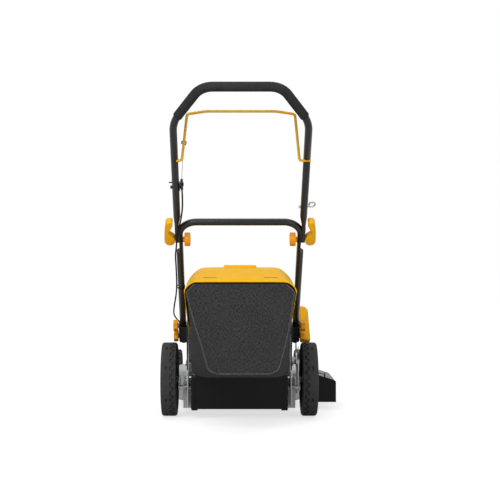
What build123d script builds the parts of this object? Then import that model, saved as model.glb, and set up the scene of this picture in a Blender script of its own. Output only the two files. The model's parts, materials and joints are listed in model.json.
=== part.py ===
from build123d import *
import math
import os

# A walk-behind petrol rotary mower with a rear grass bag, in millimetres.
# X points to the operator's right, Y forwards and Z up. While the pieces are drawn the
# ground under the middle of the rear wheels is zero; the export moves the whole mower so
# that the middle of its box's underside is the origin.

# Driving dimensions: wheels and ground
REAR_WHEEL_D = 250.0
REAR_WHEEL_W = 54.0
REAR_WHEEL_X = 237.0
FRONT_WHEEL_D = 175.0
FRONT_WHEEL_W = 46.0
FRONT_WHEEL_X = 243.0
WHEELBASE = 620.0
STUB_D = 12.0
REAR_HUB = 20.0
FRONT_HUB = 17.0

# Driving dimensions: height adjustment
CRANK_R = 60.0
CRANK_REST = 20.0
CRANK_TRAVEL = 45.0
LINK_ARM = 95.0
LINK_ARM_ANGLE = 112.5
REAR_BAR_D = 16.0
FRONT_BAR_D = 14.0

# Driving dimensions: deck and blade
DECK_R = 243.0
BLADE_Y = 310.0
BLADE_R = 228.0
DECK_BOTTOM = 30.0
DECK_TOP = 138.0
DECK_REAR = -30.0
DECK_REAR_HALF = 190.0
NOSE_Y = 513.0
NOSE_HALF = 153.0
NOSE_R = 32.0
SHEET = 3.0
TUNNEL_HALF = 174.2
TUNNEL_REAR = -45.0

# Driving dimensions: handle
TUBE_R = 11.0
TUBE_WALL = 1.5
HANDLE_ANGLE = 45.0
HANDLE_FOOT_Y = -20.0
HANDLE_FOOT_Z = 285.0
LOWER_BOLT_V = -16.0
UPPER_BOLT_V = 36.0
LOWER_HALF = 190.0
LOWER_END_V = -42.0
CROSSBAR_V = 520.0
CROSSBAR_R = 55.0
FOLD_V = 445.0
UPPER_HALF = 195.0
UPPER_TUBE_V = 545.0
FLAT_V = 505.0
SHOULDER_V = 915.0
SHOULDER_R = 110.0
TOP_V = 1041.0
TOP_HALF = 113.0
TOP_R = 60.0
FOAM_R = 14.0
FOAM_PAST_SHOULDER = 36.0

# Driving dimensions: bail, cable and rope guide
BAIL_V = 776.0
BAIL_W = 7.0
BAIL_LENGTH = 158.0
BAIL_TILT = 14.0
BAIL_WIRE_R = 4.0
CABLE_R = 2.5
CABLE_STOP_V = 665.0
CABLE_TIE_V = 217.0
ROPE_GUIDE_V = 585.0

# Driving dimensions: bag
BAG_FRONT = -48.0
BAG_REAR = -462.0
SKIRT_FRONT_Z = 298.5
SKIRT_SLOPE = 0.3706
FABRIC_T = 2.5
COVER_T = 3.0

# Driving dimensions: flaps
GUARD_ROD = (-30.0, 322.0)
SHIELD_ROD = (-88.0, 140.0)
DEFLECTOR_ROD = (252.0, 128.0)
ROD_R = 4.0
RUN = 0.3

# Values worked out from the driving dimensions
REAR_AXLE = (0.0, REAR_WHEEL_D / 2)
FRONT_AXLE = (WHEELBASE, FRONT_WHEEL_D / 2)
CRANK_DY = CRANK_R * math.cos(math.radians(CRANK_REST))
CRANK_DZ = CRANK_R * math.sin(math.radians(CRANK_REST))
REAR_BAR = (REAR_AXLE[0] - CRANK_DY, REAR_AXLE[1] - CRANK_DZ)
FRONT_BAR = (FRONT_AXLE[0] - CRANK_DY, FRONT_AXLE[1] - CRANK_DZ)
ARM_DY = LINK_ARM * math.cos(math.radians(LINK_ARM_ANGLE))
ARM_DZ = LINK_ARM * math.sin(math.radians(LINK_ARM_ANGLE))
REAR_PIN = (REAR_BAR[0] + ARM_DY, REAR_BAR[1] + ARM_DZ)
FRONT_PIN = (FRONT_BAR[0] + ARM_DY, FRONT_BAR[1] + ARM_DZ)
SIN = math.sin(math.radians(HANDLE_ANGLE))
COS = math.cos(math.radians(HANDLE_ANGLE))
HANDLE = Plane(
    origin=(0, HANDLE_FOOT_Y, HANDLE_FOOT_Z), x_dir=(1, 0, 0), z_dir=(0, -SIN, -COS)
)
BAIL = HANDLE * Location((0, BAIL_V, BAIL_W), (-BAIL_TILT, 0, 0))

NODES = {}


# Small building blocks
def block(x0, x1, y0, y1, z0, z1):
    middle = ((x0 + x1) / 2, (y0 + y1) / 2, (z0 + z1) / 2)
    return Pos(*middle) * Box(x1 - x0, y1 - y0, z1 - z0)


def rod_x(x0, x1, y, z, radius):
    return Pos((x0 + x1) / 2, y, z) * Rot(0, 90, 0) * Cylinder(radius, x1 - x0)


def rod_y(x, y0, y1, z, radius):
    return Pos(x, (y0 + y1) / 2, z) * Rot(90, 0, 0) * Cylinder(radius, y1 - y0)


def rod_z(x, y, z0, z1, radius):
    return Pos(x, y, (z0 + z1) / 2) * Cylinder(radius, z1 - z0)


def side_plate(profile, x0, x1):
    """A profile drawn in Y and Z, made thick from x0 to x1."""
    return Pos((x0 + x1) / 2, 0, 0) * extrude(Plane.YZ * profile, (x1 - x0) / 2, both=True)


def cross_plate(profile, y0, y1):
    """A profile drawn in X and Z, made thick from y0 to y1."""
    return Pos(0, (y0 + y1) / 2, 0) * extrude(Plane.XZ * profile, (y1 - y0) / 2, both=True)


def hull_of(*circles):
    """The outline stretched round circles given as (x, y, radius)."""
    edges = ShapeList()
    for x, y, radius in circles:
        edges += (Pos(x, y) * Circle(radius)).edges()
    return make_hull(edges)


def swept(path, section):
    """A section carried along a path from its first point."""
    return sweep(Plane(path @ 0, z_dir=path % 0) * section, path=path)


def both(shape):
    """A shape and its mirror image across the middle plane."""
    return shape + mirror(shape, about=Plane.YZ)


def on_handle(x, v, w):
    """A point of the handle's own frame: v up along the tube, w out of its lower side."""
    return HANDLE.from_local_coords((x, v, w))


def bolt_place(v):
    """Y and Z of a bolt across the handle at v."""
    place = on_handle(0, v, 0)
    return place.Y, place.Z


LOWER_BOLT = bolt_place(LOWER_BOLT_V)
UPPER_BOLT = bolt_place(UPPER_BOLT_V)
FOLD_PLACE = bolt_place(FOLD_V)


# Deck: a pressed pan with a tunnel to the bag, side plates and lugs
def deck_outline(inset):
    nose = hull_of(
        (0, BLADE_Y, DECK_R - inset),
        (NOSE_HALF, NOSE_Y, NOSE_R - inset),
        (-NOSE_HALF, NOSE_Y, NOSE_R - inset),
    )
    rear_y = DECK_REAR + inset
    width = 2 * (DECK_REAR_HALF - inset)
    rear = Pos(0, (rear_y + BLADE_Y) / 2) * Rectangle(width, BLADE_Y - rear_y)
    outline = nose + rear
    waist = [p for p in outline.vertices() if abs(p.Y) > 100 and p.Y < BLADE_Y - 100]
    return fillet(waist, 25)


def deck_pan(inset, bottom, top, rounding):
    pan = extrude(Pos(0, 0, bottom) * deck_outline(inset), top - bottom)
    return fillet(pan.faces().sort_by(Axis.Z)[-1].edges(), rounding)


TUNNEL_SIDE = Polygon(
    (TUNNEL_REAR, DECK_TOP - 1),
    (TUNNEL_REAR, 340),
    (-16, 340),
    (145, DECK_TOP - 1),
    align=None,
)
TUNNEL_TOP = Polygon(
    (TUNNEL_REAR, 299), (TUNNEL_REAR, 302), (-2, 302),
    (128, DECK_TOP - 1), (124, DECK_TOP - 1), (-3, 299),
    align=None,
)


def deck():
    shell = deck_pan(0, DECK_BOTTOM, DECK_TOP, 20)
    for y in (198, 387):
        shell += block(200, 258, y - 2, y + 2, 112, 134.5)
    for x in (-153, 153):
        shell += block(x - 3, x + 3, NOSE_Y, FRONT_BAR[0] + 18, FRONT_BAR[1] - 18, FRONT_BAR[1] + 26)
    shell -= deck_pan(SHEET, DECK_BOTTOM - 1, DECK_TOP - SHEET, 17)
    inner = TUNNEL_HALF - SHEET
    shell -= block(-inner, inner, DECK_REAR + SHEET, 124, 120, DECK_TOP + 1)
    shell += both(side_plate(TUNNEL_SIDE, inner, TUNNEL_HALF))
    ears = block(inner, TUNNEL_HALF, -100, DECK_REAR + 1, 40, 152)
    shell += both(ears)
    shell += side_plate(TUNNEL_TOP, -inner, inner)
    # Openings: side chute, shafts, bolts and rods
    shell -= block(150, 262, 204, 380, DECK_BOTTOM - 1, 114)
    shell -= rod_z(0, BLADE_Y, 120, 150, 40)
    for x, y in ENGINE_BOLTS:
        shell -= rod_z(x, y, 120, 150, 4.2)
    shell -= rod_x(-200, 200, *REAR_BAR, REAR_BAR_D / 2 + 3)
    shell -= rod_x(-200, 200, *FRONT_BAR, FRONT_BAR_D / 2 + 3)
    for place in (LOWER_BOLT, UPPER_BOLT):
        shell -= rod_x(-200, 200, *place, 11)
    for place in BRACKET_BOLTS:
        shell -= rod_x(-200, 200, *place, 4)
    shell -= rod_x(-200, 200, *GUARD_ROD, ROD_R)
    shell -= rod_x(-200, 200, *SHIELD_ROD, ROD_R)
    x, z = DEFLECTOR_ROD
    shell -= rod_y(x, 190, 395, z, ROD_R)
    return shell


ENGINE_BOLT_R = 86.5
ENGINE_BOLTS = [
    (ENGINE_BOLT_R * math.cos(math.radians(a)), BLADE_Y + ENGINE_BOLT_R * math.sin(math.radians(a)))
    for a in (30, 150, 270)
]
BRACKET_BOLTS = [(-20.0, 180.0), (45.0, 180.0)]
NODES["deck_shell"] = deck()


# Handle brackets: one folded plate on each side of the tunnel
def handle_bracket():
    foot = hull_of((*UPPER_BOLT, 18), (*LOWER_BOLT, 18), (45, 175, 18), (-22, 175, 18))
    plate = side_plate(foot, TUNNEL_HALF, 178.4)
    cheek = side_plate(hull_of((*UPPER_BOLT, 18), (*LOWER_BOLT, 18)), 201.4, 204.4)
    web = HANDLE * block(TUNNEL_HALF + 2, 203, -32, 44, 13.0, 16.0)
    bracket = plate + cheek + web
    for place in (LOWER_BOLT, UPPER_BOLT):
        bracket -= rod_x(170, 210, *place, 4.2)
    for place in BRACKET_BOLTS:
        bracket -= rod_x(170, 210, *place, 4)
    return bracket


NODES["handle_brackets"] = Compound([handle_bracket(), mirror(handle_bracket(), about=Plane.YZ)])


def bracket_bolt(y, z):
    head = rod_x(178.4, 183, y, z, 8)
    nut = rod_x(165, TUNNEL_HALF - SHEET, y, z, 8)
    return head + rod_x(165, 178.5, y, z, 4) + nut



def handle_bolt(y, z):
    return rod_x(171.4, TUNNEL_HALF, y, z, 9) + rod_x(173, 217, y, z, 4)


def engine_bolt(x, y):
    head = rod_z(x, y, DECK_TOP + 14, DECK_TOP + 20, 7.5)
    nut = rod_z(x, y, DECK_TOP - SHEET - 7, DECK_TOP - SHEET, 7.5)
    return head + nut + rod_z(x, y, DECK_TOP - SHEET - 8, DECK_TOP + 16, 4)


bolts = [bracket_bolt(*place) for place in BRACKET_BOLTS]
bolts += [handle_bolt(*place) for place in (LOWER_BOLT, UPPER_BOLT)]
bolts += [mirror(bolt, about=Plane.YZ) for bolt in bolts]
bolts += [engine_bolt(*place) for place in ENGINE_BOLTS]
NODES["fixing_bolts"] = Compound(bolts)


# Star knobs on the handle bolts
def star_knob(y, z):
    body = rod_x(207.3, 223.3, y, z, 15)
    for k in range(6):
        turn = math.radians(60 * k)
        lobe_y = y + 14.2 * math.cos(turn)
        lobe_z = z + 14.2 * math.sin(turn)
        body += rod_x(207.3, 221.3, lobe_y, lobe_z, 6.5)
    body += rod_x(204.8, 207.4, y, z, 8)
    return body - rod_x(204, 219, y, z, 4 + RUN)


for level, place in (("lower", LOWER_BOLT), ("upper", UPPER_BOLT)):
    knob = star_knob(*place)
    NODES[f"right_{level}_star_knob"] = knob
    NODES[f"left_{level}_star_knob"] = mirror(knob, about=Plane.YZ)


# Wheels: a tyre on a spoked rim
def tyre(radius, width, bead):
    half = width / 2
    outline = Polygon(
        (-half + 5, bead), (-half, bead + 9), (-half, radius - 16), (-half + 5, radius - 2),
        (-half + 12, radius), (half - 12, radius), (half - 5, radius - 2), (half, radius - 16),
        (half, bead + 9), (half - 5, bead),
        align=None,
    )
    return revolve(outline, axis=Axis.X)


def rim(bead, width, hub_half, spokes):
    half = width / 2 - 5
    outline = Polygon(
        (-hub_half, STUB_D / 2 + RUN), (-hub_half, 20), (-6, 24), (-6, bead - 9), (-half, bead - 5),
        (-half, bead), (half, bead), (half, bead - 5), (6, bead - 9), (6, 24), (hub_half, 20),
        (hub_half, STUB_D / 2 + RUN),
        align=None,
    )
    body = revolve(outline, axis=Axis.X)
    window = (bead - 9 - 24) / 2 - 6
    at = 24 + 6 + window
    window = min(window, at * math.sin(math.pi / spokes) - 5)
    for k in range(spokes):
        turn = 2 * math.pi * k / spokes
        body -= rod_x(-7, 7, at * math.cos(turn), at * math.sin(turn), window)
    return body


def add_wheel(name, axle, x, radius, width, bead, hub_half, spokes):
    for side, place in (("right", x), ("left", -x)):
        spot = Pos(place, *axle)
        NODES[f"{name}_{side}_tyre"] = spot * tyre(radius, width, bead)
        NODES[f"{name}_{side}_rim"] = spot * rim(bead, width, hub_half, spokes)


add_wheel("rear", REAR_AXLE, REAR_WHEEL_X, REAR_WHEEL_D / 2, REAR_WHEEL_W, 94, REAR_HUB, 8)
add_wheel("front", FRONT_AXLE, FRONT_WHEEL_X, FRONT_WHEEL_D / 2, FRONT_WHEEL_W, 64, FRONT_HUB, 6)


# Cranked axles, bushes, height lever, link and notched quadrant
CRANK_IN = 200.2
CRANK_OUT = 205.2


def axle(bar, hub, bar_r, hub_x, hub_half, width):
    end = hub_x + width / 2 - 2
    crank = side_plate(hull_of((*bar, 13), (*hub, 12)), CRANK_IN, CRANK_OUT)
    stub = rod_x(CRANK_OUT - 1, end, *hub, STUB_D / 2)
    collar = rod_x(hub_x + hub_half + 0.4, end, *hub, 10)
    ends = crank + stub + collar
    shoulder = rod_x(CRANK_OUT - 1, hub_x - hub_half - 0.4, *hub, 9)
    return both(ends + shoulder) + rod_x(-CRANK_IN - 1, CRANK_IN + 1, *bar, bar_r)


def link_arm(bar, pin):
    arm = side_plate(hull_of((*bar, 13), (*pin, 9)), 195, 199)
    return arm + rod_x(188.5, 196, *pin, 4)


LEVER_KNEE = (48.0, 205.0)
LEVER_TOP = (70.0, 268.0)
GRIP_FOOT = (68.0, 262.0)
GRIP_TOP = (104.0, 358.0)


def lever_plate():
    knee, top = LEVER_KNEE, LEVER_TOP
    shank = side_plate(hull_of((*REAR_BAR, 13), (*knee, 11)), 195, 199)
    shank += side_plate(hull_of((*knee, 11), (*top, 10)), 195, 199)
    shank += rod_x(195, 224, *top, 7)
    return shank


def lever_grip():
    body = side_plate(hull_of((*GRIP_FOOT, 15), (*GRIP_TOP, 15)), 211, 244)
    body = fillet(body.edges().filter_by(GeomType.CIRCLE), 7)
    return body - rod_x(190, 224, *LEVER_TOP, 7)


NODES["rear_axle"] = axle(REAR_BAR, REAR_AXLE, REAR_BAR_D / 2, REAR_WHEEL_X, REAR_HUB, REAR_WHEEL_W)
NODES["front_axle"] = axle(
    FRONT_BAR, FRONT_AXLE, FRONT_BAR_D / 2, FRONT_WHEEL_X, FRONT_HUB, FRONT_WHEEL_W
) + link_arm(FRONT_BAR, FRONT_PIN)
LEVER_BORE = rod_x(190, 200, *REAR_BAR, REAR_BAR_D / 2)
NODES["height_lever"] = lever_plate() + link_arm(REAR_BAR, REAR_PIN) - LEVER_BORE
NODES["height_grip"] = lever_grip()

link = side_plate(hull_of((*REAR_PIN, 9), (*FRONT_PIN, 9)), 189.2, 193.4)
for pin in (REAR_PIN, FRONT_PIN):
    link -= rod_x(180, 200, *pin, 4 + RUN)
NODES["height_link"] = link


def bush(bar, bar_r, x):
    return rod_x(x - 3.5, x + 3.5, *bar, bar_r + 3) - rod_x(x - 5, x + 5, *bar, bar_r + RUN)


NODES["axle_bushes"] = Compound(
    [bush(REAR_BAR, REAR_BAR_D / 2, x) for x in (-172.7, 172.7)]
    + [bush(FRONT_BAR, FRONT_BAR_D / 2, x) for x in (-153, 153)]
)


def quadrant():
    y, z = REAR_BAR
    ring = Circle(142) - Circle(120)
    wedge = Polygon((0, 0), (300, -92), (300, 420), (150, 420), align=None)
    sector = Pos(y, z) * (ring & wedge)
    for k in range(6):
        turn = math.radians(18 + 8 * k)
        sector -= Pos(y + 142 * math.cos(turn), z + 142 * math.sin(turn)) * Circle(4)
    foot = block(DECK_REAR_HALF, 202.4, y + 121, y + 137, z - 34, z - 20)
    return side_plate(sector, 199.9, 202.4) + foot


NODES["height_quadrant"] = quadrant()


# Lower handle: a loop of tube pressed flat on its outer side at the fold
def lower_handle():
    points = [
        (-LOWER_HALF, LOWER_END_V, 0),
        (-LOWER_HALF, CROSSBAR_V, 0),
        (LOWER_HALF, CROSSBAR_V, 0),
        (LOWER_HALF, LOWER_END_V, 0),
    ]
    path = FilletPolyline(*points, radius=CROSSBAR_R)
    tube = swept(path, Circle(TUBE_R) - Circle(TUBE_R - TUBE_WALL))
    solid = swept(path, Circle(TUBE_R))
    pressed = solid & both(block(140, 210, FOLD_V - 55, CROSSBAR_V - 14, -15, 15))
    tube += pressed
    tube -= both(block(191, 210, FOLD_V - 50, CROSSBAR_V - 13, -15, 15))
    tube -= both(rod_x(170, 210, FOLD_V, 0, 4.4))
    for v in (LOWER_BOLT_V, UPPER_BOLT_V):
        tube -= both(rod_x(170, 210, v, 0, 4.2))
    return HANDLE * tube


NODES["lower_handle"] = lower_handle()


# Upper handle: flattened ends, shoulders and a narrow top bar
def top_loop(first, radii):
    """The upper handle's centre line from its first point on the left to its mirror image."""
    left = [first, (-UPPER_HALF, SHOULDER_V, 0), (-TOP_HALF, TOP_V, 0)]
    if len(radii) == 2:
        left = [first, (-TOP_HALF, TOP_V, 0)]
    right = [(-x, v, w) for x, v, w in reversed(left)]
    return FilletPolyline(*left, *right, radius=radii)


def flat_end():
    length = FLAT_V - FOLD_V
    tongue = Pos(FOLD_V + length / 2, 0) * Rectangle(length, 2 * TUBE_R)
    tongue += Pos(FOLD_V, 0) * Circle(TUBE_R)
    flat = side_plate(tongue, 191.3, 203)
    low = Plane(origin=(197.15, FLAT_V, 0), x_dir=(1, 0, 0), z_dir=(0, 1, 0))
    high = Plane(origin=(UPPER_HALF, UPPER_TUBE_V, 0), x_dir=(1, 0, 0), z_dir=(0, 1, 0))
    return flat + loft([low * RectangleRounded(11.7, 2 * TUBE_R, 4), high * Circle(TUBE_R)])


def upper_handle():
    path = top_loop((-UPPER_HALF, UPPER_TUBE_V, 0), [SHOULDER_R, TOP_R, TOP_R, SHOULDER_R])
    tube = swept(path, Circle(TUBE_R) - Circle(TUBE_R - TUBE_WALL))
    tube += both(flat_end())
    tube -= both(rod_x(185, 210, FOLD_V, 0, 4))
    tube -= block(182, 208, BAIL_V - 4.6, BAIL_V + 4.6, BAIL_W - 4.5, 14)
    tube -= rod_x(-195, -182, BAIL_V, BAIL_W, BAIL_WIRE_R + RUN)
    tube -= rod_x(-208, -182, CABLE_STOP_V, 0, 2.5)
    tube -= rod_x(182, 208, ROPE_GUIDE_V, 0, 2.5)
    return HANDLE * tube


NODES["upper_handle"] = upper_handle()

run = math.hypot(UPPER_HALF - TOP_HALF, TOP_V - SHOULDER_V)
FOAM_X = UPPER_HALF - FOAM_PAST_SHOULDER * (UPPER_HALF - TOP_HALF) / run
FOAM_V = SHOULDER_V + FOAM_PAST_SHOULDER * (TOP_V - SHOULDER_V) / run
foam_path = top_loop((-FOAM_X, FOAM_V, 0), [TOP_R, TOP_R])
NODES["foam_grip"] = HANDLE * swept(foam_path, Circle(FOAM_R) - Circle(TUBE_R + 0.1))


# Fold bolts with their cam levers and tension knobs
CAM_X = 219.9
CAM_R = 16.5


def fold_bolt():
    eye = Pos(CAM_X, FOLD_V, 0) * (Cylinder(7, 8.6) + Cylinder(3, 26))
    return HANDLE * (rod_x(158, CAM_X, FOLD_V, 0, 4) + eye)


def cam_lever():
    body = Pos(CAM_X, FOLD_V, 0) * Cylinder(CAM_R, 26)
    outline = Polygon(
        (CAM_X - 8, FOLD_V + 8), (CAM_X + 16, FOLD_V + 3), (CAM_X + 13, FOLD_V + 44),
        (CAM_X + 9, FOLD_V + 72), (CAM_X - 8, FOLD_V + 76),
        (CAM_X - 10, FOLD_V + 66), (CAM_X - 3, FOLD_V + 40),
        align=None,
    )
    arm = Pos(0, 0, -11) * extrude(outline, 22)
    arm = fillet(arm.edges().filter_by(Axis.Z).sort_by(Axis.Y)[-4:], 4)
    lever = body + arm
    lever -= block(CAM_X - 20, CAM_X + 20, FOLD_V - 20, FOLD_V + 8.5, -4.9, 4.9)
    lever -= Pos(CAM_X, FOLD_V, 0) * Cylinder(3 + RUN, 40)
    return HANDLE * lever


def tension_knob():
    body = rod_x(156, 174, FOLD_V, 0, 22)
    for k in range(12):
        turn = math.radians(30 * k)
        body -= rod_x(150, 180, FOLD_V + 23.4 * math.cos(turn), 23.4 * math.sin(turn), 2.6)
    body += rod_x(173.5, 178.6, FOLD_V, 0, 9)
    return HANDLE * (body - rod_x(157, 180, FOLD_V, 0, 4 + RUN))


NODES["fold_bolts"] = Compound([fold_bolt(), mirror(fold_bolt(), about=Plane.YZ)])
NODES["right_cam_lever"] = cam_lever()
NODES["left_cam_lever"] = mirror(NODES["right_cam_lever"], about=Plane.YZ)
NODES["right_tension_knob"] = tension_knob()
NODES["left_tension_knob"] = mirror(NODES["right_tension_knob"], about=Plane.YZ)


# Bail: one bent wire, its left end in a hole and its right end in a slot of the tube
def bail():
    points = [
        (-190, 0, 0),
        (-173, 0, 0),
        (-155, BAIL_LENGTH - 9, 0),
        (-100, BAIL_LENGTH, 0),
        (100, BAIL_LENGTH, 0),
        (155, BAIL_LENGTH - 9, 0),
        (173, 0, 0),
        (206, 0, 0),
    ]
    path = FilletPolyline(*points, radius=[9, 9, 60, 60, 9, 9])
    return BAIL * swept(path, Circle(BAIL_WIRE_R))


NODES["bail"] = bail()


# Rope guide: a bolt through the right tube, bent into an open loop
def rope_guide():
    stem = Line((178, ROPE_GUIDE_V, 0), (219, ROPE_GUIDE_V, 0))
    loop = CenterArc((219, ROPE_GUIDE_V + 9, 0), 9, -90, 290)
    wire = swept(Wire([stem, loop]), Circle(2.5))
    nut = rod_x(179, 183.8, ROPE_GUIDE_V, 0, 5)
    return HANDLE * (wire + nut)


NODES["rope_guide"] = rope_guide()


# Cable stop on the left tube, and the control cable along its real route
def cable_stop():
    bolt = rod_x(-211, -178, CABLE_STOP_V, 0, 2.5) + rod_x(-211, -206.1, CABLE_STOP_V, 0, 5)
    plate = block(-183.9, -181.6, CABLE_STOP_V - 9, CABLE_STOP_V + 17, -8, 9)
    tab = block(-182, -170, CABLE_STOP_V + 13, CABLE_STOP_V + 17, -2, 10)
    head = rod_x(-182, -178, CABLE_STOP_V, 0, 4.5)
    barrel = Pos(-176, CABLE_STOP_V + 14, 4) * Rot(90, 0, 0) * Cylinder(4, 40)
    return HANDLE * (bolt + plate + tab + head + barrel)


NODES["cable_stop"] = cable_stop()

CABLE_SPLIT = (-188.0, 530.0, 17.0)
CABLE_TOP = [
    (-176.0, CABLE_STOP_V - 6.2, 4.0),
    (-175.0, 600.0, 7.0),
    (-181.0, 552.0, 16.5),
    CABLE_SPLIT,
]
CABLE_SIDE = [
    (-188.1, 529.6, 17.0),
    (-197.0, 470.0, 19.0),
    (-200.0, 425.0, 19.0),
    (-205.0, 385.0, 9.0),
    (-204.5, 330.0, 3.0),
    (-204.5, CABLE_TIE_V, 3.0),
    (-221.0, 112.0, 3.0),
]
CABLE_TAIL = [
    (-219.0, -28.0, 338.0),
    (-190.0, 60.0, 300.0),
    (-112.0, 202.0, 224.0),
    (-94.6, 242.0, 214.0),
    (-94.6, 268.0, 214.0),
]


def cable(points, radius):
    path = FilletPolyline(*points, radius=radius)
    body = swept(path, Circle(CABLE_R))
    ideal = math.pi * CABLE_R**2 * path.length
    print("cable length", round(path.length, 1), "volume ratio", round(body.volume / ideal, 4))
    return body


NODES["cable_upper"] = cable([on_handle(*p) for p in CABLE_TOP], 30)
NODES["cable_lower"] = cable([on_handle(*p) for p in CABLE_SIDE] + [Vector(*p) for p in CABLE_TAIL], 30)


def cable_tie():
    tube = (-LOWER_HALF, 0.0, TUBE_R)
    cord = (-204.5, 3.0, CABLE_R)
    outer = hull_of(*[(x, w, r + 1.4) for x, w, r in (tube, cord)])
    inner = hull_of(*[(x, w, r + 0.1) for x, w, r in (tube, cord)])
    at = Plane(origin=(0, CABLE_TIE_V + 16, 0), x_dir=(1, 0, 0), z_dir=(0, -1, 0))
    return HANDLE * extrude(at * (outer - inner), 5)


NODES["cable_tie"] = cable_tie()


# Bag: a fabric trough, a hard cover over it and a wire frame inside
def skirt_z(y):
    return SKIRT_FRONT_Z + (BAG_FRONT - y) * SKIRT_SLOPE


BAG_SECTIONS = [
    (BAG_FRONT, 161.0, 160.0, 152.0, 16.0),
    (-200.0, 165.0, 158.0, 147.0, 30.0),
    (-360.0, 166.0, 146.0, 153.0, 40.0),
    (BAG_REAR, 162.0, 122.0, 186.0, 26.0),
]


def bag_section(y, top_half, bottom_half, bottom, rounding, inset, top):
    wide = top_half - inset
    low = bottom_half - inset
    sketch = Polygon(
        (-wide, top), (-low, bottom + inset), (low, bottom + inset), (wide, top), align=None
    )
    corners = sketch.vertices().sort_by(Axis.Y)[:2]
    sketch = fillet(corners, max(rounding - inset, 2))
    return Plane(origin=(0, y, 0), x_dir=(1, 0, 0), z_dir=(0, -1, 0)) * sketch


def bag_loft(inset):
    sections = []
    for y, top_half, bottom_half, bottom, rounding in BAG_SECTIONS:
        at = y
        if inset and y == BAG_FRONT:
            at = y + 1
        if inset and y == BAG_REAR:
            at = y + inset
        sections.append(bag_section(at, top_half, bottom_half, bottom, rounding, inset, 470))
    return loft(sections, ruled=True)


def above_skirt(lift):
    """Everything above the line where the cover meets the fabric."""
    front, rear = BAG_FRONT + 60, BAG_REAR - 60
    edge = Polygon(
        (front, skirt_z(front) + lift), (rear, skirt_z(rear) + lift),
        (rear, 900), (front, 900), align=None
    )
    return side_plate(edge, -260, 260)


NODES["bag_fabric"] = bag_loft(0) - bag_loft(FABRIC_T) - above_skirt(0)

COVER_SIDE = [
    (BAG_FRONT, 250),
    (BAG_FRONT, 316),
    (-186, 496),
    (-222, 515),
    (-300, 518),
    (-352, 509),
    (-448, 476),
    (-467, 462),
    (-467, 250),
]
COVER_BACK = [(171, 250), (171, 446), (160, 470), (114, 513), (100, 518)]


def cover_solid(inset):
    side = make_face(Polyline(*COVER_SIDE, close=True))
    outline = COVER_BACK + [(-x, z) for x, z in reversed(COVER_BACK)]
    back = make_face(Polyline(*outline, close=True))
    side = offset(side, -inset, kind=Kind.INTERSECTION) if inset else side
    back = offset(back, -inset, kind=Kind.INTERSECTION) if inset else back
    return side_plate(side, -200, 200) & cross_plate(back, -500, 0)


def bag_cover():
    cover = cover_solid(0)
    cover += block(-52, 52, -300, -205, 505, 523)
    cover -= cover_solid(COVER_T)
    cover -= both(block(72, 114, -470, -405, 476, 481))
    return cover & above_skirt(0.2)


NODES["bag_cover"] = bag_cover()


def bag_frame():
    hoop = FilletPolyline(
        (150, -62, 164), (150, -62, 284), (-150, -62, 284), (-150, -62, 164), radius=18, close=True
    )
    wire = swept(hoop, Circle(4))
    rear = -430.0
    rails = FilletPolyline(
        (150, -62, 270), (151, -120, skirt_z(-120) - 16), (140, rear, skirt_z(rear) - 16),
        (-140, rear, skirt_z(rear) - 16), (-151, -120, skirt_z(-120) - 16), (-150, -62, 270),
        radius=30,
    )
    wire += swept(rails, Circle(4))
    clip = block(147, 159.4, -207, -193, skirt_z(-200) - 14, skirt_z(-200) - 8)
    hook = block(148, 157.6, -74, -64, 255, 270)
    return wire + both(clip + hook)


NODES["bag_frame"] = bag_frame()


# Rear guard, trailing shield and side deflector on their rods
NODES["hinge_rods"] = Compound(
    [rod_x(-TUNNEL_HALF, TUNNEL_HALF, *GUARD_ROD, ROD_R), rod_x(-177, 177, *SHIELD_ROD, ROD_R)]
    + [rod_y(DEFLECTOR_ROD[0], 190, 395, DEFLECTOR_ROD[1], ROD_R)]
)


def rear_guard():
    y, z = GUARD_ROD
    slope = math.degrees(math.atan2(496 - 316, 186 + BAG_FRONT))
    # Drawn flat with the hinge at zero and the plate running to minus Y, then turned up.
    plate = block(-158, 158, -132, -2, -7, -3.5)
    lip = block(-158, 158, -132, -128.5, -16.4, -5)
    knuckle = rod_x(-158, 158, 0, 0, 7)
    guard = plate + lip + knuckle
    guard -= rod_x(-160, 160, 0, 0, ROD_R + RUN)
    return Pos(0, y, z) * Rot(-slope, 0, 0) * guard


NODES["rear_guard"] = rear_guard()


def trailing_shield():
    y, z = SHIELD_ROD
    panel = block(-162, 162, y - 6, y - 2, 34, z)
    knuckle = rod_x(-162, 162, y, z, 6.5)
    ribs = both(block(150, 162, y - 9, y - 2, 33, z - 5))
    feet = both(block(140, 160, y - 8, y + 2, 30, 40))
    return panel + knuckle + ribs + feet - rod_x(-170, 170, y, z, ROD_R + RUN)


NODES["trailing_shield"] = trailing_shield()

HOOD_REAR = 148.0
HOOD_FRONT = 405.0
HOOD_OUT = 344.0
SPRING_R = 3.0
SPRING_WIRE = 1.5
SPRING_PITCH = 2.05
SPRING_Y = HOOD_REAR + 8
SPRING_FROM = Vector(253, SPRING_Y, 142)
SPRING_TO = Vector(300, SPRING_Y, 126.5)


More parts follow.
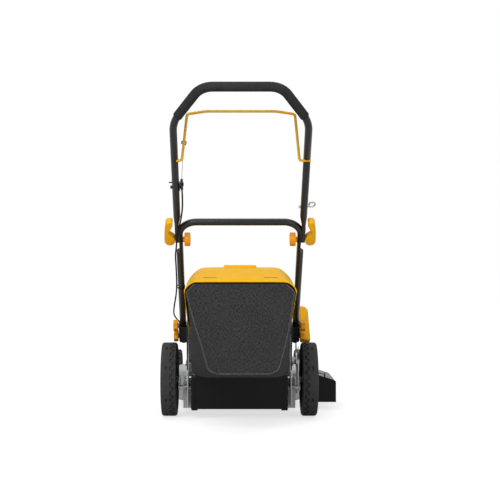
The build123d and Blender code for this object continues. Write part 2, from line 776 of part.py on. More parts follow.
def side_deflector():
    x, z = DEFLECTOR_ROD
    outer = Polygon(
        (258, 130), (HOOD_OUT - 8, 106), (HOOD_OUT, 100),
        (HOOD_OUT, 27), (276, 27), (266, 100), align=None
    )
    inner = Polygon(
        (258, 126.5), (HOOD_OUT - 8, 103), (HOOD_OUT + 5, 100),
        (HOOD_OUT + 5, 20), (250, 20), align=None
    )
    hood = cross_plate(outer, HOOD_REAR, HOOD_FRONT)
    hood -= cross_plate(inner, HOOD_REAR + 3, HOOD_FRONT - 3)
    for y0, y1 in ((206, 246), (339, 379)):
        hood += rod_y(x, y0, y1, z, 8) + block(x, 262, y0, y1, z - 4, z + 1)
    hood += rod_z(SPRING_TO.X + 4.25, SPRING_Y, 112, 130, 2.5)
    for y0, y1 in ((195.3, 205.5), (379.5, 389.7)):
        hood -= block(240, 264.5, y0, y1, 100, 140)
    return hood - rod_y(x, 180, 400, z, ROD_R + RUN)


NODES["side_deflector"] = side_deflector()

# Return spring: a close helix from a peg on the deck's rear lug to a peg on the hood


def deflector_spring():
    line = SPRING_TO - SPRING_FROM
    helix = Helix(SPRING_PITCH, line.length, SPRING_R)
    coil = sweep(Plane(helix @ 0, z_dir=helix % 0) * Circle(SPRING_WIRE / 2), path=helix, is_frenet=True)
    climb = math.atan(SPRING_PITCH / (2 * math.pi * SPRING_R))
    print("spring least gap to itself", round(SPRING_PITCH * math.cos(climb) - SPRING_WIRE, 3))
    return Plane(SPRING_FROM, z_dir=line) * coil


NODES["deflector_spring"] = deflector_spring()
peg = rod_y(SPRING_FROM.X - 1.5, SPRING_Y, 198, SPRING_FROM.Z, 2)
peg += block(247, SPRING_FROM.X + 0.5, 196, 200, 133, SPRING_FROM.Z + 2.5)
NODES["deck_shell"] += peg


# Engine above the deck
ENGINE_Z = DECK_TOP
COWL_Z = ENGINE_Z + 98


def engine_block():
    body = rod_z(0, BLADE_Y, ENGINE_Z, ENGINE_Z + 14, 95) + rod_z(0, BLADE_Y, ENGINE_Z, COWL_Z - 1, 78)
    barrel = block(-46, 46, BLADE_Y + 60, BLADE_Y + 160, ENGINE_Z + 24, COWL_Z - 6)
    for k in range(6):
        y = BLADE_Y + 86 + 12 * k
        groove = block(-50, 50, y, y + 6, ENGINE_Z + 20, COWL_Z)
        groove -= block(-34, 34, y - 1, y + 7, ENGINE_Z + 36, COWL_Z - 18)
        barrel -= groove
    body += barrel
    body += block(-92, -50, 366, 394, ENGINE_Z, ENGINE_Z + 26) + rod_z(-84, 382, ENGINE_Z, COWL_Z - 4, 8)
    body -= rod_z(-84, 382, ENGINE_Z + 20, COWL_Z, 5)
    body -= rod_z(0, BLADE_Y, ENGINE_Z - 1, COWL_Z + 1, 11 + RUN)
    for x, y in ENGINE_BOLTS:
        body -= rod_z(x, y, ENGINE_Z - 1, ENGINE_Z + 30, 4.2)
        body -= rod_z(x, y, ENGINE_Z + 14, ENGINE_Z + 40, 8.5)
    return body


def cylinder_head():
    y = BLADE_Y + 160
    head = block(-50, 50, y, y + 28, ENGINE_Z + 20, COWL_Z - 2)
    for k in range(5):
        z = ENGINE_Z + 28 + 14 * k
        head -= block(-60, 60, y + 12, y + 40, z, z + 7) - rod_y(0, y, y + 40, ENGINE_Z + 58, 15)
    return head


def spark_plug():
    y = BLADE_Y + 188
    z = ENGINE_Z + 58
    return rod_y(0, y, y + 9, z, 10) + rod_y(0, y + 8, y + 30, z, 6.5) + rod_y(0, y + 22, y + 44, z, 9)


def domed(z0, z1, radius, rounding):
    """An upright cylinder on the shaft's axis with a rounded top edge."""
    body = rod_z(0, BLADE_Y, z0, z1, radius)
    return fillet(body.faces().sort_by(Axis.Z)[-1].edges(), rounding)


def blower_housing():
    shell = domed(COWL_Z, COWL_Z + 66, 98, 14) - domed(COWL_Z - 1, COWL_Z + 63, 95.5, 11.5)
    shell -= rod_z(0, BLADE_Y, COWL_Z + 50, COWL_Z + 80, 62)
    for k in range(6):
        spoke = block(76, 96.5, -4, 4, COWL_Z - 1, COWL_Z + 2)
        shell += Pos(0, BLADE_Y, 0) * Rot(0, 0, 60 * k + 30) * spoke
    return shell


def recoil_cover():
    z = COWL_Z + 66
    dome = domed(z, z + 40, 74, 16) - domed(z - 1, z + 37, 71, 13)
    for k in range(10):
        slot = block(30, 60, -3, 3, z + 30, z + 50)
        dome -= Pos(0, BLADE_Y, 0) * Rot(0, 0, 36 * k) * slot
    eyelet = Pos(0, BLADE_Y, 0) * Rot(0, 0, -50) * rod_x(70, 82, 0, z + 14, 8)
    dome += eyelet - rod_z(0, BLADE_Y, z - 1, z + 40, 72)
    return dome - Pos(0, BLADE_Y, 0) * Rot(0, 0, -50) * rod_x(60, 90, 0, z + 14, 3.5)


def fuel_tank():
    tank = block(98.2, 172, 226, 394, ENGINE_Z + 34, ENGINE_Z + 138)
    tank = fillet(tank.edges(), 16)
    tank += rod_z(136, 330, ENGINE_Z + 130, ENGINE_Z + 148, 19)
    tank += block(78.2, 120, 296, 324, ENGINE_Z + 60, ENGINE_Z + 72)
    tank -= rod_z(136, 330, ENGINE_Z + 120, ENGINE_Z + 160, 15)
    return tank


def fuel_cap():
    z = ENGINE_Z + 148 + 0.4
    cap = rod_z(136, 330, z - 9, z + 16, 26) - rod_z(136, 330, z - 20, z, 19 + RUN)
    for k in range(16):
        turn = math.radians(22.5 * k)
        cap -= rod_z(136 + 27 * math.cos(turn), 330 + 27 * math.sin(turn), z - 20, z + 20, 2.6)
    return cap


def air_cleaner():
    box = block(-172, -106, 272, 364, ENGINE_Z + 30, ENGINE_Z + 130)
    box = fillet(box.edges(), 12)
    for k in range(5):
        z = ENGINE_Z + 52 + 13 * k
        box -= block(-180, -170, 288, 348, z, z + 5)
    return box


def carburettor():
    body = block(-106, -90, 296, 340, ENGINE_Z + 50, ENGINE_Z + 94)
    return body + rod_x(-92, -78.2, 318, ENGINE_Z + 72, 14)


def muffler():
    box = block(52, 116, 400, 462, ENGINE_Z + 30, ENGINE_Z + 88)
    box = fillet(box.edges(), 9)
    for k in range(4):
        y = 412 + 11 * k
        box -= block(110, 120, y, y + 5, ENGINE_Z + 44, ENGINE_Z + 74)
    return box + rod_x(46.2, 60, 431, ENGINE_Z + 60, 12)


def brake_bracket():
    plate = block(-92, -89, 256, 292, ENGINE_Z + 14, ENGINE_Z + 92)
    clamp = block(-98.6, -92, 257, 264, ENGINE_Z + 70, ENGINE_Z + 84)
    return plate + clamp - (Pos(-94.6, 262, ENGINE_Z + 76) * Rot(90, 0, 0) * Cylinder(CABLE_R + 0.1, 40))


def dipstick():
    z = COWL_Z - 4 + 0.4
    return rod_z(-84, 382, z, z + 12, 12) + rod_z(-84, 382, z - 50, z + 1, 4)


NODES["engine_block"] = engine_block()
NODES["cylinder_head"] = cylinder_head()
NODES["spark_plug"] = spark_plug()
NODES["blower_housing"] = blower_housing()
NODES["recoil_cover"] = recoil_cover()
NODES["fuel_tank"] = fuel_tank()
NODES["fuel_cap"] = fuel_cap()
NODES["air_cleaner"] = air_cleaner()
NODES["carburettor"] = carburettor()
NODES["muffler"] = muffler()
NODES["brake_bracket"] = brake_bracket()
NODES["dipstick"] = dipstick()


# Cutter: crankshaft with flywheel, adapter, blade and bolt
def crankshaft():
    wheel = rod_z(0, BLADE_Y, COWL_Z + 6, COWL_Z + 40, 80)
    for k in range(12):
        fin = block(56, 84, -1.5, 1.5, COWL_Z + 20, COWL_Z + 50)
        wheel -= Pos(0, BLADE_Y, 0) * Rot(0, 0, 30 * k) * fin
    return wheel + rod_z(0, BLADE_Y, 60, COWL_Z + 50, 11)


def blade():
    bar = block(-BLADE_R, BLADE_R, BLADE_Y - 26, BLADE_Y + 26, 49.8, 53.8)
    disc = rod_z(0, BLADE_Y, 40, 80, BLADE_R)
    wing = Polygon((4, 53.8), (26, 53.8), (26, 66), (23, 66), (14, 56), align=None)
    tip = side_plate(Pos(BLADE_Y, 0) * wing, BLADE_R - 75, BLADE_R)
    bar = (bar + tip + Pos(0, 2 * BLADE_Y, 0) * Rot(0, 0, 180) * tip) & disc
    return bar - rod_z(0, BLADE_Y, 40, 60, 5)


NODES["crankshaft"] = crankshaft()
NODES["blade_adapter"] = (
    rod_z(0, BLADE_Y, 53.8, 86, 24) - rod_z(0, BLADE_Y, 60, 90, 11) - rod_z(0, BLADE_Y, 50, 62, 5)
)
NODES["blade"] = blade()
NODES["blade_bolt"] = rod_z(0, BLADE_Y, 40, 49.8, 11) + rod_z(0, BLADE_Y, 48, 60, 5)


# The origin: the middle of the underside of the whole mower's box
boxes = [shape.bounding_box() for shape in NODES.values()]
SHIFT_X = -(min(b.min.X for b in boxes) + max(b.max.X for b in boxes)) / 2
SHIFT_Y = -(min(b.min.Y for b in boxes) + max(b.max.Y for b in boxes)) / 2

os.makedirs("parts", exist_ok=True)
for name, shape in NODES.items():
    export_step(Pos(SHIFT_X, SHIFT_Y, 0) * shape, f"parts/{name}.step")
print(len(NODES), "nodes, shift", round(SHIFT_X, 3), round(SHIFT_Y, 3))
print("height", round(max(b.max.Z for b in boxes), 1))
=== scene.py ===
"""Looks of a walk-behind rotary mower with a grass bag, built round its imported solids."""

import json
import logging
import math
from collections.abc import Iterable, Sequence
from dataclasses import dataclass
from enum import Enum
from functools import cache

import bmesh
import bpy
from mathutils import Matrix, Vector, noise


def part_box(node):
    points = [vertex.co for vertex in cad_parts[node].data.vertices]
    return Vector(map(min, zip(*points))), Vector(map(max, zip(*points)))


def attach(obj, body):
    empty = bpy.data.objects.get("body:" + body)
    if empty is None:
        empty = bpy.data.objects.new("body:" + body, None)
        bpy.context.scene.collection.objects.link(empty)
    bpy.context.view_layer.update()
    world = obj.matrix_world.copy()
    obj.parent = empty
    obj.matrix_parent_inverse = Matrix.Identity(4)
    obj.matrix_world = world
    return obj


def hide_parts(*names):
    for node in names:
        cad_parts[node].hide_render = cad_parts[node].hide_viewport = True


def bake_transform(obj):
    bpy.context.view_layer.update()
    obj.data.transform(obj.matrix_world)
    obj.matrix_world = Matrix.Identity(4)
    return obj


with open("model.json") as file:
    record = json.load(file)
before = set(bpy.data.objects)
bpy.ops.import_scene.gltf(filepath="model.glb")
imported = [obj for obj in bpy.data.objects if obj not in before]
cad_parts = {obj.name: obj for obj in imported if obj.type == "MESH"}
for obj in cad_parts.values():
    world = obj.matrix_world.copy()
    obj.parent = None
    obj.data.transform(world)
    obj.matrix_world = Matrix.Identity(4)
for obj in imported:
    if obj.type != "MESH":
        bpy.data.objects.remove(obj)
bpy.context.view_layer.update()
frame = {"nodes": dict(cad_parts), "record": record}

LOG = logging.getLogger("mower")
MM = 0.001
BEND_STEP = 8.0
LEAST_BEND_STEPS = 3
RELIEF_STRENGTH = 0.8
THREAD_DARK = 0.55
THREAD_LIGHT = 1.5
Colour = tuple[float, float, float]
Point = tuple[float, float, float]


class Side(Enum):
    """The two sides of the mower, as the sign of X."""

    RIGHT = 1
    LEFT = -1

    @property
    def word(self) -> str:
        """The side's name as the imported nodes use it."""
        return self.name.lower()


@dataclass(frozen=True)
class Drawing:
    """The mower's own drawing frame in the row's frame.

    Points are given in millimetres: X to the operator's right, Y forwards, Z up, from the
    ground under the middle of the rear wheels. The handle has a frame of its own there, with
    v up along its tubes and w out of their lower side.
    """

    middle: Vector
    foot_y: float = -20.0
    foot_z: float = 285.0
    slope: float = math.radians(45.0)

    @classmethod
    def from_frame(cls) -> "Drawing":
        """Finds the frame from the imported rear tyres."""
        right_low, right_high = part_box("rear_right_tyre")
        left_low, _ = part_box("rear_left_tyre")
        return cls(
            Vector(((left_low.x + right_high.x) / 2, (right_low.y + right_high.y) / 2, right_low.z))
        )

    def at(self, x: float, y: float, z: float) -> Vector:
        """A point of the drawing frame in the row's frame, in metres."""
        return self.middle + Vector((x, y, z)) * MM

    def matrix(self) -> Matrix:
        """The drawing frame, in metres, as a matrix."""
        return Matrix.Translation(self.middle)

    def handle(self) -> Matrix:
        """The handle's frame, in metres, as a matrix."""
        sine, cosine = math.sin(self.slope), math.cos(self.slope)
        turn = Matrix(((1, 0, 0), (0, -cosine, -sine), (0, sine, -cosine))).to_4x4()
        return Matrix.Translation(self.at(0, self.foot_y, self.foot_z)) @ turn

    def on_handle(self, x: float, v: float, w: float) -> Vector:
        """A point of the handle's frame in the row's frame, in metres."""
        return self.handle() @ (Vector((x, v, w)) * MM)


DRAWING = Drawing.from_frame()


# Finishes


class Texture(Enum):
    """The fine relief of a finish."""

    GRAIN = "grain"
    PORES = "pores"
    WEAVE = "weave"
    BRUSHED = "brushed"


class NodeSheet:
    """A node tree with short calls for placing and joining nodes."""

    def __init__(self, tree: bpy.types.NodeTree) -> None:
        """Clears the tree and keeps it.

        Args:
            tree: The node tree of a material, world or group.
        """
        self.tree = tree
        tree.nodes.clear()

    def add(self, kind: str, links: dict | None = None, **values: object) -> bpy.types.Node:
        """Places a node.

        Args:
            kind: Blender's name of the node type.
            links: Input name or index to the output socket that feeds it, or to a plain value.
            values: Properties set on the node itself.

        Returns:
            The new node.
        """
        node = self.tree.nodes.new(kind)
        for name, value in values.items():
            setattr(node, name, value)
        for name, value in (links or {}).items():
            if isinstance(value, bpy.types.NodeSocket):
                self.tree.links.new(value, node.inputs[name])
            else:
                node.inputs[name].default_value = value
        return node


@dataclass(frozen=True)
class Groups:
    """Shader node groups that several finishes share, each built once.

    Attributes:
        patch_edge: Noise values between the first colour and the second.
        unevenness: Soft bumps per metre under the foam's pores.
        drawn: How the noise is drawn out into the lines of rolled steel.
        slub_pulls: How the noise is drawn out along each way of the threads.
        slub_edge: Noise values between thin threads and thick ones.
    """

    patch_edge: tuple[float, float] = (0.32, 0.68)
    unevenness: float = 60.0
    drawn: Point = (0.08, 1.0, 1.0)
    slub_pulls: tuple[Point, ...] = ((800.0, 130.0, 1.0), (130.0, 800.0, 1.0))
    slub_edge: tuple[float, float] = (0.85, 1.15)

    def _start(
        self, name: str, inputs: dict[str, str], outputs: dict[str, str]
    ) -> tuple[NodeSheet, bpy.types.Node, bpy.types.Node]:
        """Makes an empty group with its sockets.

        Args:
            name: The group's name.
            inputs: Input names to socket types.
            outputs: Output names to socket types.

        Returns:
            The group's sheet, its input node and its output node.
        """
        tree = bpy.data.node_groups.new(name, "ShaderNodeTree")
        for socket, kind in inputs.items():
            tree.interface.new_socket(name=socket, in_out="INPUT", socket_type=kind)
        for socket, kind in outputs.items():
            tree.interface.new_socket(name=socket, in_out="OUTPUT", socket_type=kind)
        sheet = NodeSheet(tree)
        return sheet, sheet.add("NodeGroupInput"), sheet.add("NodeGroupOutput")

    @cache
    def mottle(self) -> bpy.types.ShaderNodeTree:
        """Two colours that drift into each other in soft patches, and the patches' mask."""
        sheet, given, result = self._start(
            "mottle",
            {"Scale": "NodeSocketFloat", "First": "NodeSocketColor", "Second": "NodeSocketColor"},
            {"Colour": "NodeSocketColor", "Mask": "NodeSocketFloat"},
        )
        place = sheet.add("ShaderNodeTexCoord")
        cloud = sheet.add(
            "ShaderNodeTexNoise",
            {"Vector": place.outputs["Object"], "Scale": given.outputs["Scale"], "Detail": 4.0},
        )
        mask = sheet.add(
            "ShaderNodeMapRange",
            {
                "Value": cloud.outputs["Fac"],
                "From Min": self.patch_edge[0],
                "From Max": self.patch_edge[1],
            },
        )
        mixed = sheet.add(
            "ShaderNodeMix",
            {0: mask.outputs["Result"], 6: given.outputs["First"], 7: given.outputs["Second"]},
            data_type="RGBA",
        )
        sheet.tree.links.new(mixed.outputs[2], result.inputs["Colour"])
        sheet.tree.links.new(mask.outputs["Result"], result.inputs["Mask"])
        return sheet.tree

    @cache
    def grain(self) -> bpy.types.ShaderNodeTree:
        """The fine pebbled relief of moulded plastic, powder coat or casting."""
        sheet, given, result = self._start(
            "grain", {"Scale": "NodeSocketFloat"}, {"Height": "NodeSocketFloat"}
        )
        place = sheet.add("ShaderNodeTexCoord")
        fine = sheet.add(
            "ShaderNodeTexNoise",
            {"Vector": place.outputs["Object"], "Scale": given.outputs["Scale"], "Detail": 2.0},
        )
        sheet.tree.links.new(fine.outputs["Fac"], result.inputs["Height"])
        return sheet.tree

    @cache
    def pores(self) -> bpy.types.ShaderNodeTree:
        """Closed-cell foam: small round dimples over a soft unevenness."""
        sheet, given, result = self._start(
            "pores", {"Scale": "NodeSocketFloat"}, {"Height": "NodeSocketFloat"}
        )
        place = sheet.add("ShaderNodeTexCoord")
        cells = sheet.add(
            "ShaderNodeTexVoronoi",
            {"Vector": place.outputs["Object"], "Scale": given.outputs["Scale"]},
        )
        soft = sheet.add(
            "ShaderNodeTexNoise",
            {"Vector": place.outputs["Object"], "Scale": self.unevenness, "Detail": 2.0},
        )
        height = sheet.add(
            "ShaderNodeMath",
            {0: cells.outputs["Distance"], 1: soft.outputs["Fac"]},
            operation="ADD",
        )
        sheet.tree.links.new(height.outputs[0], result.inputs["Height"])
        return sheet.tree

    @cache
    def brushed(self) -> bpy.types.ShaderNodeTree:
        """The drawn lines of rolled or turned steel."""
        sheet, given, result = self._start(
            "brushed", {"Scale": "NodeSocketFloat"}, {"Height": "NodeSocketFloat"}
        )
        place = sheet.add("ShaderNodeTexCoord")
        drawn = sheet.add(
            "ShaderNodeMapping", {"Vector": place.outputs["Object"], "Scale": self.drawn}
        )
        lines = sheet.add(
            "ShaderNodeTexNoise",
            {"Vector": drawn.outputs["Vector"], "Scale": given.outputs["Scale"], "Detail": 3.0},
        )
        sheet.tree.links.new(lines.outputs["Fac"], result.inputs["Height"])
        return sheet.tree

    @cache
    def weave(self) -> bpy.types.ShaderNodeTree:
        """Plain weave on the piece's own UV map, in metres, with threads of uneven thickness."""
        sheet, given, result = self._start(
            "weave",
            {"Scale": "NodeSocketFloat"},
            {"Height": "NodeSocketFloat", "Slub": "NodeSocketFloat"},
        )
        place = sheet.add("ShaderNodeTexCoord")
        split = sheet.add("ShaderNodeSeparateXYZ", {0: place.outputs["UV"]})
        waves = []
        for axis in (0, 1):
            turns = sheet.add(
                "ShaderNodeMath",
                {0: split.outputs[axis], 1: given.outputs["Scale"]},
                operation="MULTIPLY",
            )
            wave = sheet.add("ShaderNodeMath", {0: turns.outputs[0]}, operation="SINE")
            waves.append(wave.outputs[0])
        bumps = sheet.add("ShaderNodeMath", {0: waves[0], 1: waves[1]}, operation="MULTIPLY")
        slubs = []
        for pull in self.slub_pulls:
            pulled = sheet.add("ShaderNodeMapping", {"Vector": place.outputs["UV"], "Scale": pull})
            thread = sheet.add(
                "ShaderNodeTexNoise",
                {"Vector": pulled.outputs["Vector"], "Scale": 1.0, "Detail": 1.0},
            )
            slubs.append(thread.outputs["Fac"])
        slub = sheet.add("ShaderNodeMath", {0: slubs[0], 1: slubs[1]}, operation="ADD")
        spread = sheet.add(
            "ShaderNodeMapRange",
            {
                "Value": slub.outputs[0],
                "From Min": self.slub_edge[0],
                "From Max": self.slub_edge[1],
            },
        )
        sheet.tree.links.new(bumps.outputs[0], result.inputs["Height"])
        sheet.tree.links.new(spread.outputs["Result"], result.inputs["Slub"])
        return sheet.tree


GROUPS = Groups()


@dataclass(frozen=True)
class Finish:
    """A surface finish that becomes one procedural material.

    Attributes:
        name: The finish's name, which is the record's slot too unless slot says another.
        colour: Main colour, linear.
        shade: Second colour that the surface drifts to in patches.
        rough: Roughness in the first and second patches.
        metallic: 1 for bare metal.
        patch: Patches per metre, roughly.
        texture: Kind of fine relief.
        scale: Relief marks per metre, roughly.
        relief: Height of the relief in millimetres.
        coat: Weight of a clear coat.
        shine: Level of the surface's mirror part; 0.5 is plain plastic.
        slot: The record's slot, where the finish's name isn't one; not used.
    """

    name: str
    colour: Colour
    shade: Colour
    rough: tuple[float, float] = (0.4, 0.5)
    metallic: float = 0.0
    patch: float = 30.0
    texture: Texture = Texture.GRAIN
    scale: float = 1400.0
    relief: float = 0.05
    coat: float = 0.0
    shine: float = 0.5
    slot: str | None = None

    @staticmethod
    def _tint(colour: Colour, strength: float) -> tuple[float, ...]:
        """A colour made darker or lighter, with full opacity."""
        return (*(part * strength for part in colour), 1.0)

    def material(self) -> bpy.types.Material:
        """Builds the material, or returns the one that is built already."""
        title = f"{self.name}_finish"
        found = bpy.data.materials.get(title)
        if found:
            return found
        material = bpy.data.materials.new(title)
        material.use_nodes = True
        sheet = NodeSheet(material.node_tree)
        output = sheet.add("ShaderNodeOutputMaterial")
        woven = self.texture is Texture.WEAVE
        depth = THREAD_DARK if woven else 1.0
        mottle = sheet.add(
            "ShaderNodeGroup",
            {
                "Scale": self.patch,
                "First": self._tint(self.colour, depth),
                "Second": self._tint(self.shade, depth),
            },
            node_tree=GROUPS.mottle(),
        )
        tree = {
            Texture.GRAIN: GROUPS.grain,
            Texture.PORES: GROUPS.pores,
            Texture.BRUSHED: GROUPS.brushed,
            Texture.WEAVE: GROUPS.weave,
        }[self.texture]()
        relief = sheet.add("ShaderNodeGroup", {"Scale": self.scale}, node_tree=tree)
        colour = mottle.outputs["Colour"]
        if woven:
            colour = sheet.add(
                "ShaderNodeMix",
                {0: relief.outputs["Slub"], 6: colour, 7: self._tint(self.colour, THREAD_LIGHT)},
                data_type="RGBA",
            ).outputs[2]
        rough = sheet.add(
            "ShaderNodeMapRange",
            {"Value": mottle.outputs["Mask"], "To Min": self.rough[0], "To Max": self.rough[1]},
        )
        bump = sheet.add(
            "ShaderNodeBump",
            {
                "Height": relief.outputs["Height"],
                "Strength": RELIEF_STRENGTH,
                "Distance": self.relief * MM,
            },
        )
        shader = sheet.add(
            "ShaderNodeBsdfPrincipled",
            {
                "Base Color": colour,
                "Roughness": rough.outputs["Result"],
                "Normal": bump.outputs["Normal"],
                "Metallic": self.metallic,
                "Coat Weight": self.coat,
                "Specular IOR Level": self.shine,
            },
        )
        sheet.tree.links.new(shader.outputs[0], output.inputs["Surface"])
        return material


DECK_PAINT = Finish(
    "deck_paint", (0.38, 0.39, 0.40), (0.33, 0.34, 0.35), (0.3, 0.4), metallic=0.35, relief=0.03
)
BLACK_TUBE = Finish(
    "black_tube", (0.006, 0.006, 0.0063), (0.009, 0.009, 0.0094), (0.24, 0.32),
    relief=0.01, shine=0.3,
)
ZINC_STEEL = Finish(
    "zinc_steel", (0.40, 0.40, 0.39), (0.30, 0.30, 0.30), (0.28, 0.42), metallic=1.0,
    patch=60.0, texture=Texture.BRUSHED, scale=900.0, relief=0.02,
)
# A darker, more orange copy of the lever plastic, which is the same plastic: painted shade on the
# star and tension knobs and on the imported nodes of the knob_plastic slot.
SHADED_KNOB_PLASTIC = Finish(
    "knob_plastic", (0.86, 0.34, 0.002), (0.82, 0.31, 0.002), (0.38, 0.46), relief=0.01, shine=0.2
)
LEVER_PLASTIC = Finish(
    "lever_plastic", (0.93, 0.46, 0.002), (0.90, 0.43, 0.002), (0.38, 0.46),
    relief=0.01, shine=0.2, slot="knob_plastic",
)
COVER_PLASTIC = Finish(
    "cover_plastic", (0.89, 0.48, 0.006), (0.85, 0.45, 0.005), (0.42, 0.5), relief=0.01, shine=0.07
)
BAIL_COAT = Finish(
    "bail_coat", (0.80, 0.42, 0.012), (0.72, 0.36, 0.01), (0.35, 0.45), relief=0.02, shine=0.3
)
BLACK_PLASTIC = Finish(
    "black_plastic", (0.003, 0.003, 0.0032), (0.005, 0.005, 0.0052), (0.28, 0.36),
    relief=0.04, shine=0.12,
)
FOAM = Finish(
    "foam", (0.028, 0.028, 0.0285), (0.04, 0.04, 0.0408), (0.75, 0.9),
    patch=40.0, texture=Texture.PORES, scale=700.0, relief=0.3, shine=0.06,
)
TREAD = Finish(
    "tread", (0.052, 0.052, 0.0527), (0.068, 0.068, 0.0672), (0.7, 0.85),
    patch=45.0, scale=500.0, relief=0.08, shine=0.06,
)
BAG_CLOTH = Finish(
    "bag_cloth", (0.044, 0.044, 0.0447), (0.036, 0.036, 0.0366), (0.75, 0.85),
    patch=12.0, texture=Texture.WEAVE, scale=math.tau * 700.0, relief=0.2, shine=0.04,
)
# Lighter than the bag's cloth of the same slot: a slightly lighter tape, made lighter still as
# painted highlight so that the seams stand out.
BINDING = Finish(
    "bag_binding", (0.085, 0.085, 0.086), (0.07, 0.07, 0.071), (0.7, 0.8), patch=20.0,
    texture=Texture.WEAVE, scale=math.tau * 900.0, relief=0.15, shine=0.04, slot="bag_cloth",
)
CAST_ALLOY = Finish(
    "cast_alloy", (0.50, 0.50, 0.51), (0.38, 0.38, 0.39), (0.4, 0.55), metallic=0.9,
    scale=600.0, relief=0.2,
)
MUFFLER_STEEL = Finish(
    "muffler_steel", (0.03, 0.03, 0.03), (0.05, 0.045, 0.04), (0.5, 0.65), metallic=0.4,
    relief=0.08,
)
PLUG_CERAMIC = Finish(
    "plug_ceramic", (0.78, 0.77, 0.74), (0.7, 0.69, 0.66), (0.15, 0.25), relief=0.01, coat=0.5
)
CABLE_JACKET = Finish(
    "cable_jacket", (0.006, 0.006, 0.006), (0.01, 0.01, 0.01), (0.4, 0.5), relief=0.03, shine=0.07
)
FINISHES = {
    finish.name: finish
    for finish in (
        DECK_PAINT, BLACK_TUBE, ZINC_STEEL, SHADED_KNOB_PLASTIC, COVER_PLASTIC, BAIL_COAT, BLACK_PLASTIC,
        FOAM, TREAD, BAG_CLOTH, CAST_ALLOY, MUFFLER_STEEL, PLUG_CERAMIC, CABLE_JACKET,
    )
}


# Meshes in the making


def put_in_scene(name: str, data: bpy.types.ID) -> bpy.types.Object:
    """Puts a mesh, curve, lamp or camera into the scene as an object."""
    made = bpy.data.objects.new(name, data)
    bpy.context.scene.collection.objects.link(made)
    return made


def thicken(piece: bpy.types.Object, thickness: float, offset: float) -> None:
    """Gives a sheet its wall.

    Args:
        piece: The sheet.
        thickness: The wall's thickness in millimetres.
        offset: -1 for a wall behind the sheet's face, 0 for one on both sides of it.
    """
    wall = piece.modifiers.new("wall", "SOLIDIFY")
    wall.thickness = thickness * MM
    wall.offset = offset


def break_edges(piece: bpy.types.Object, width: float, segments: int, angle: float) -> None:
    """Rounds the sharp edges of a finished piece.

    Args:
        piece: The piece.
        width: Width of the rounding in millimetres.
        segments: Faces across the rounding.
        angle: Least turn of an edge in degrees.
    """
    edge = piece.modifiers.new("edge", "BEVEL")
    edge.width = width * MM
    edge.segments = segments
    edge.limit_method = "ANGLE"
    edge.angle_limit = math.radians(angle)


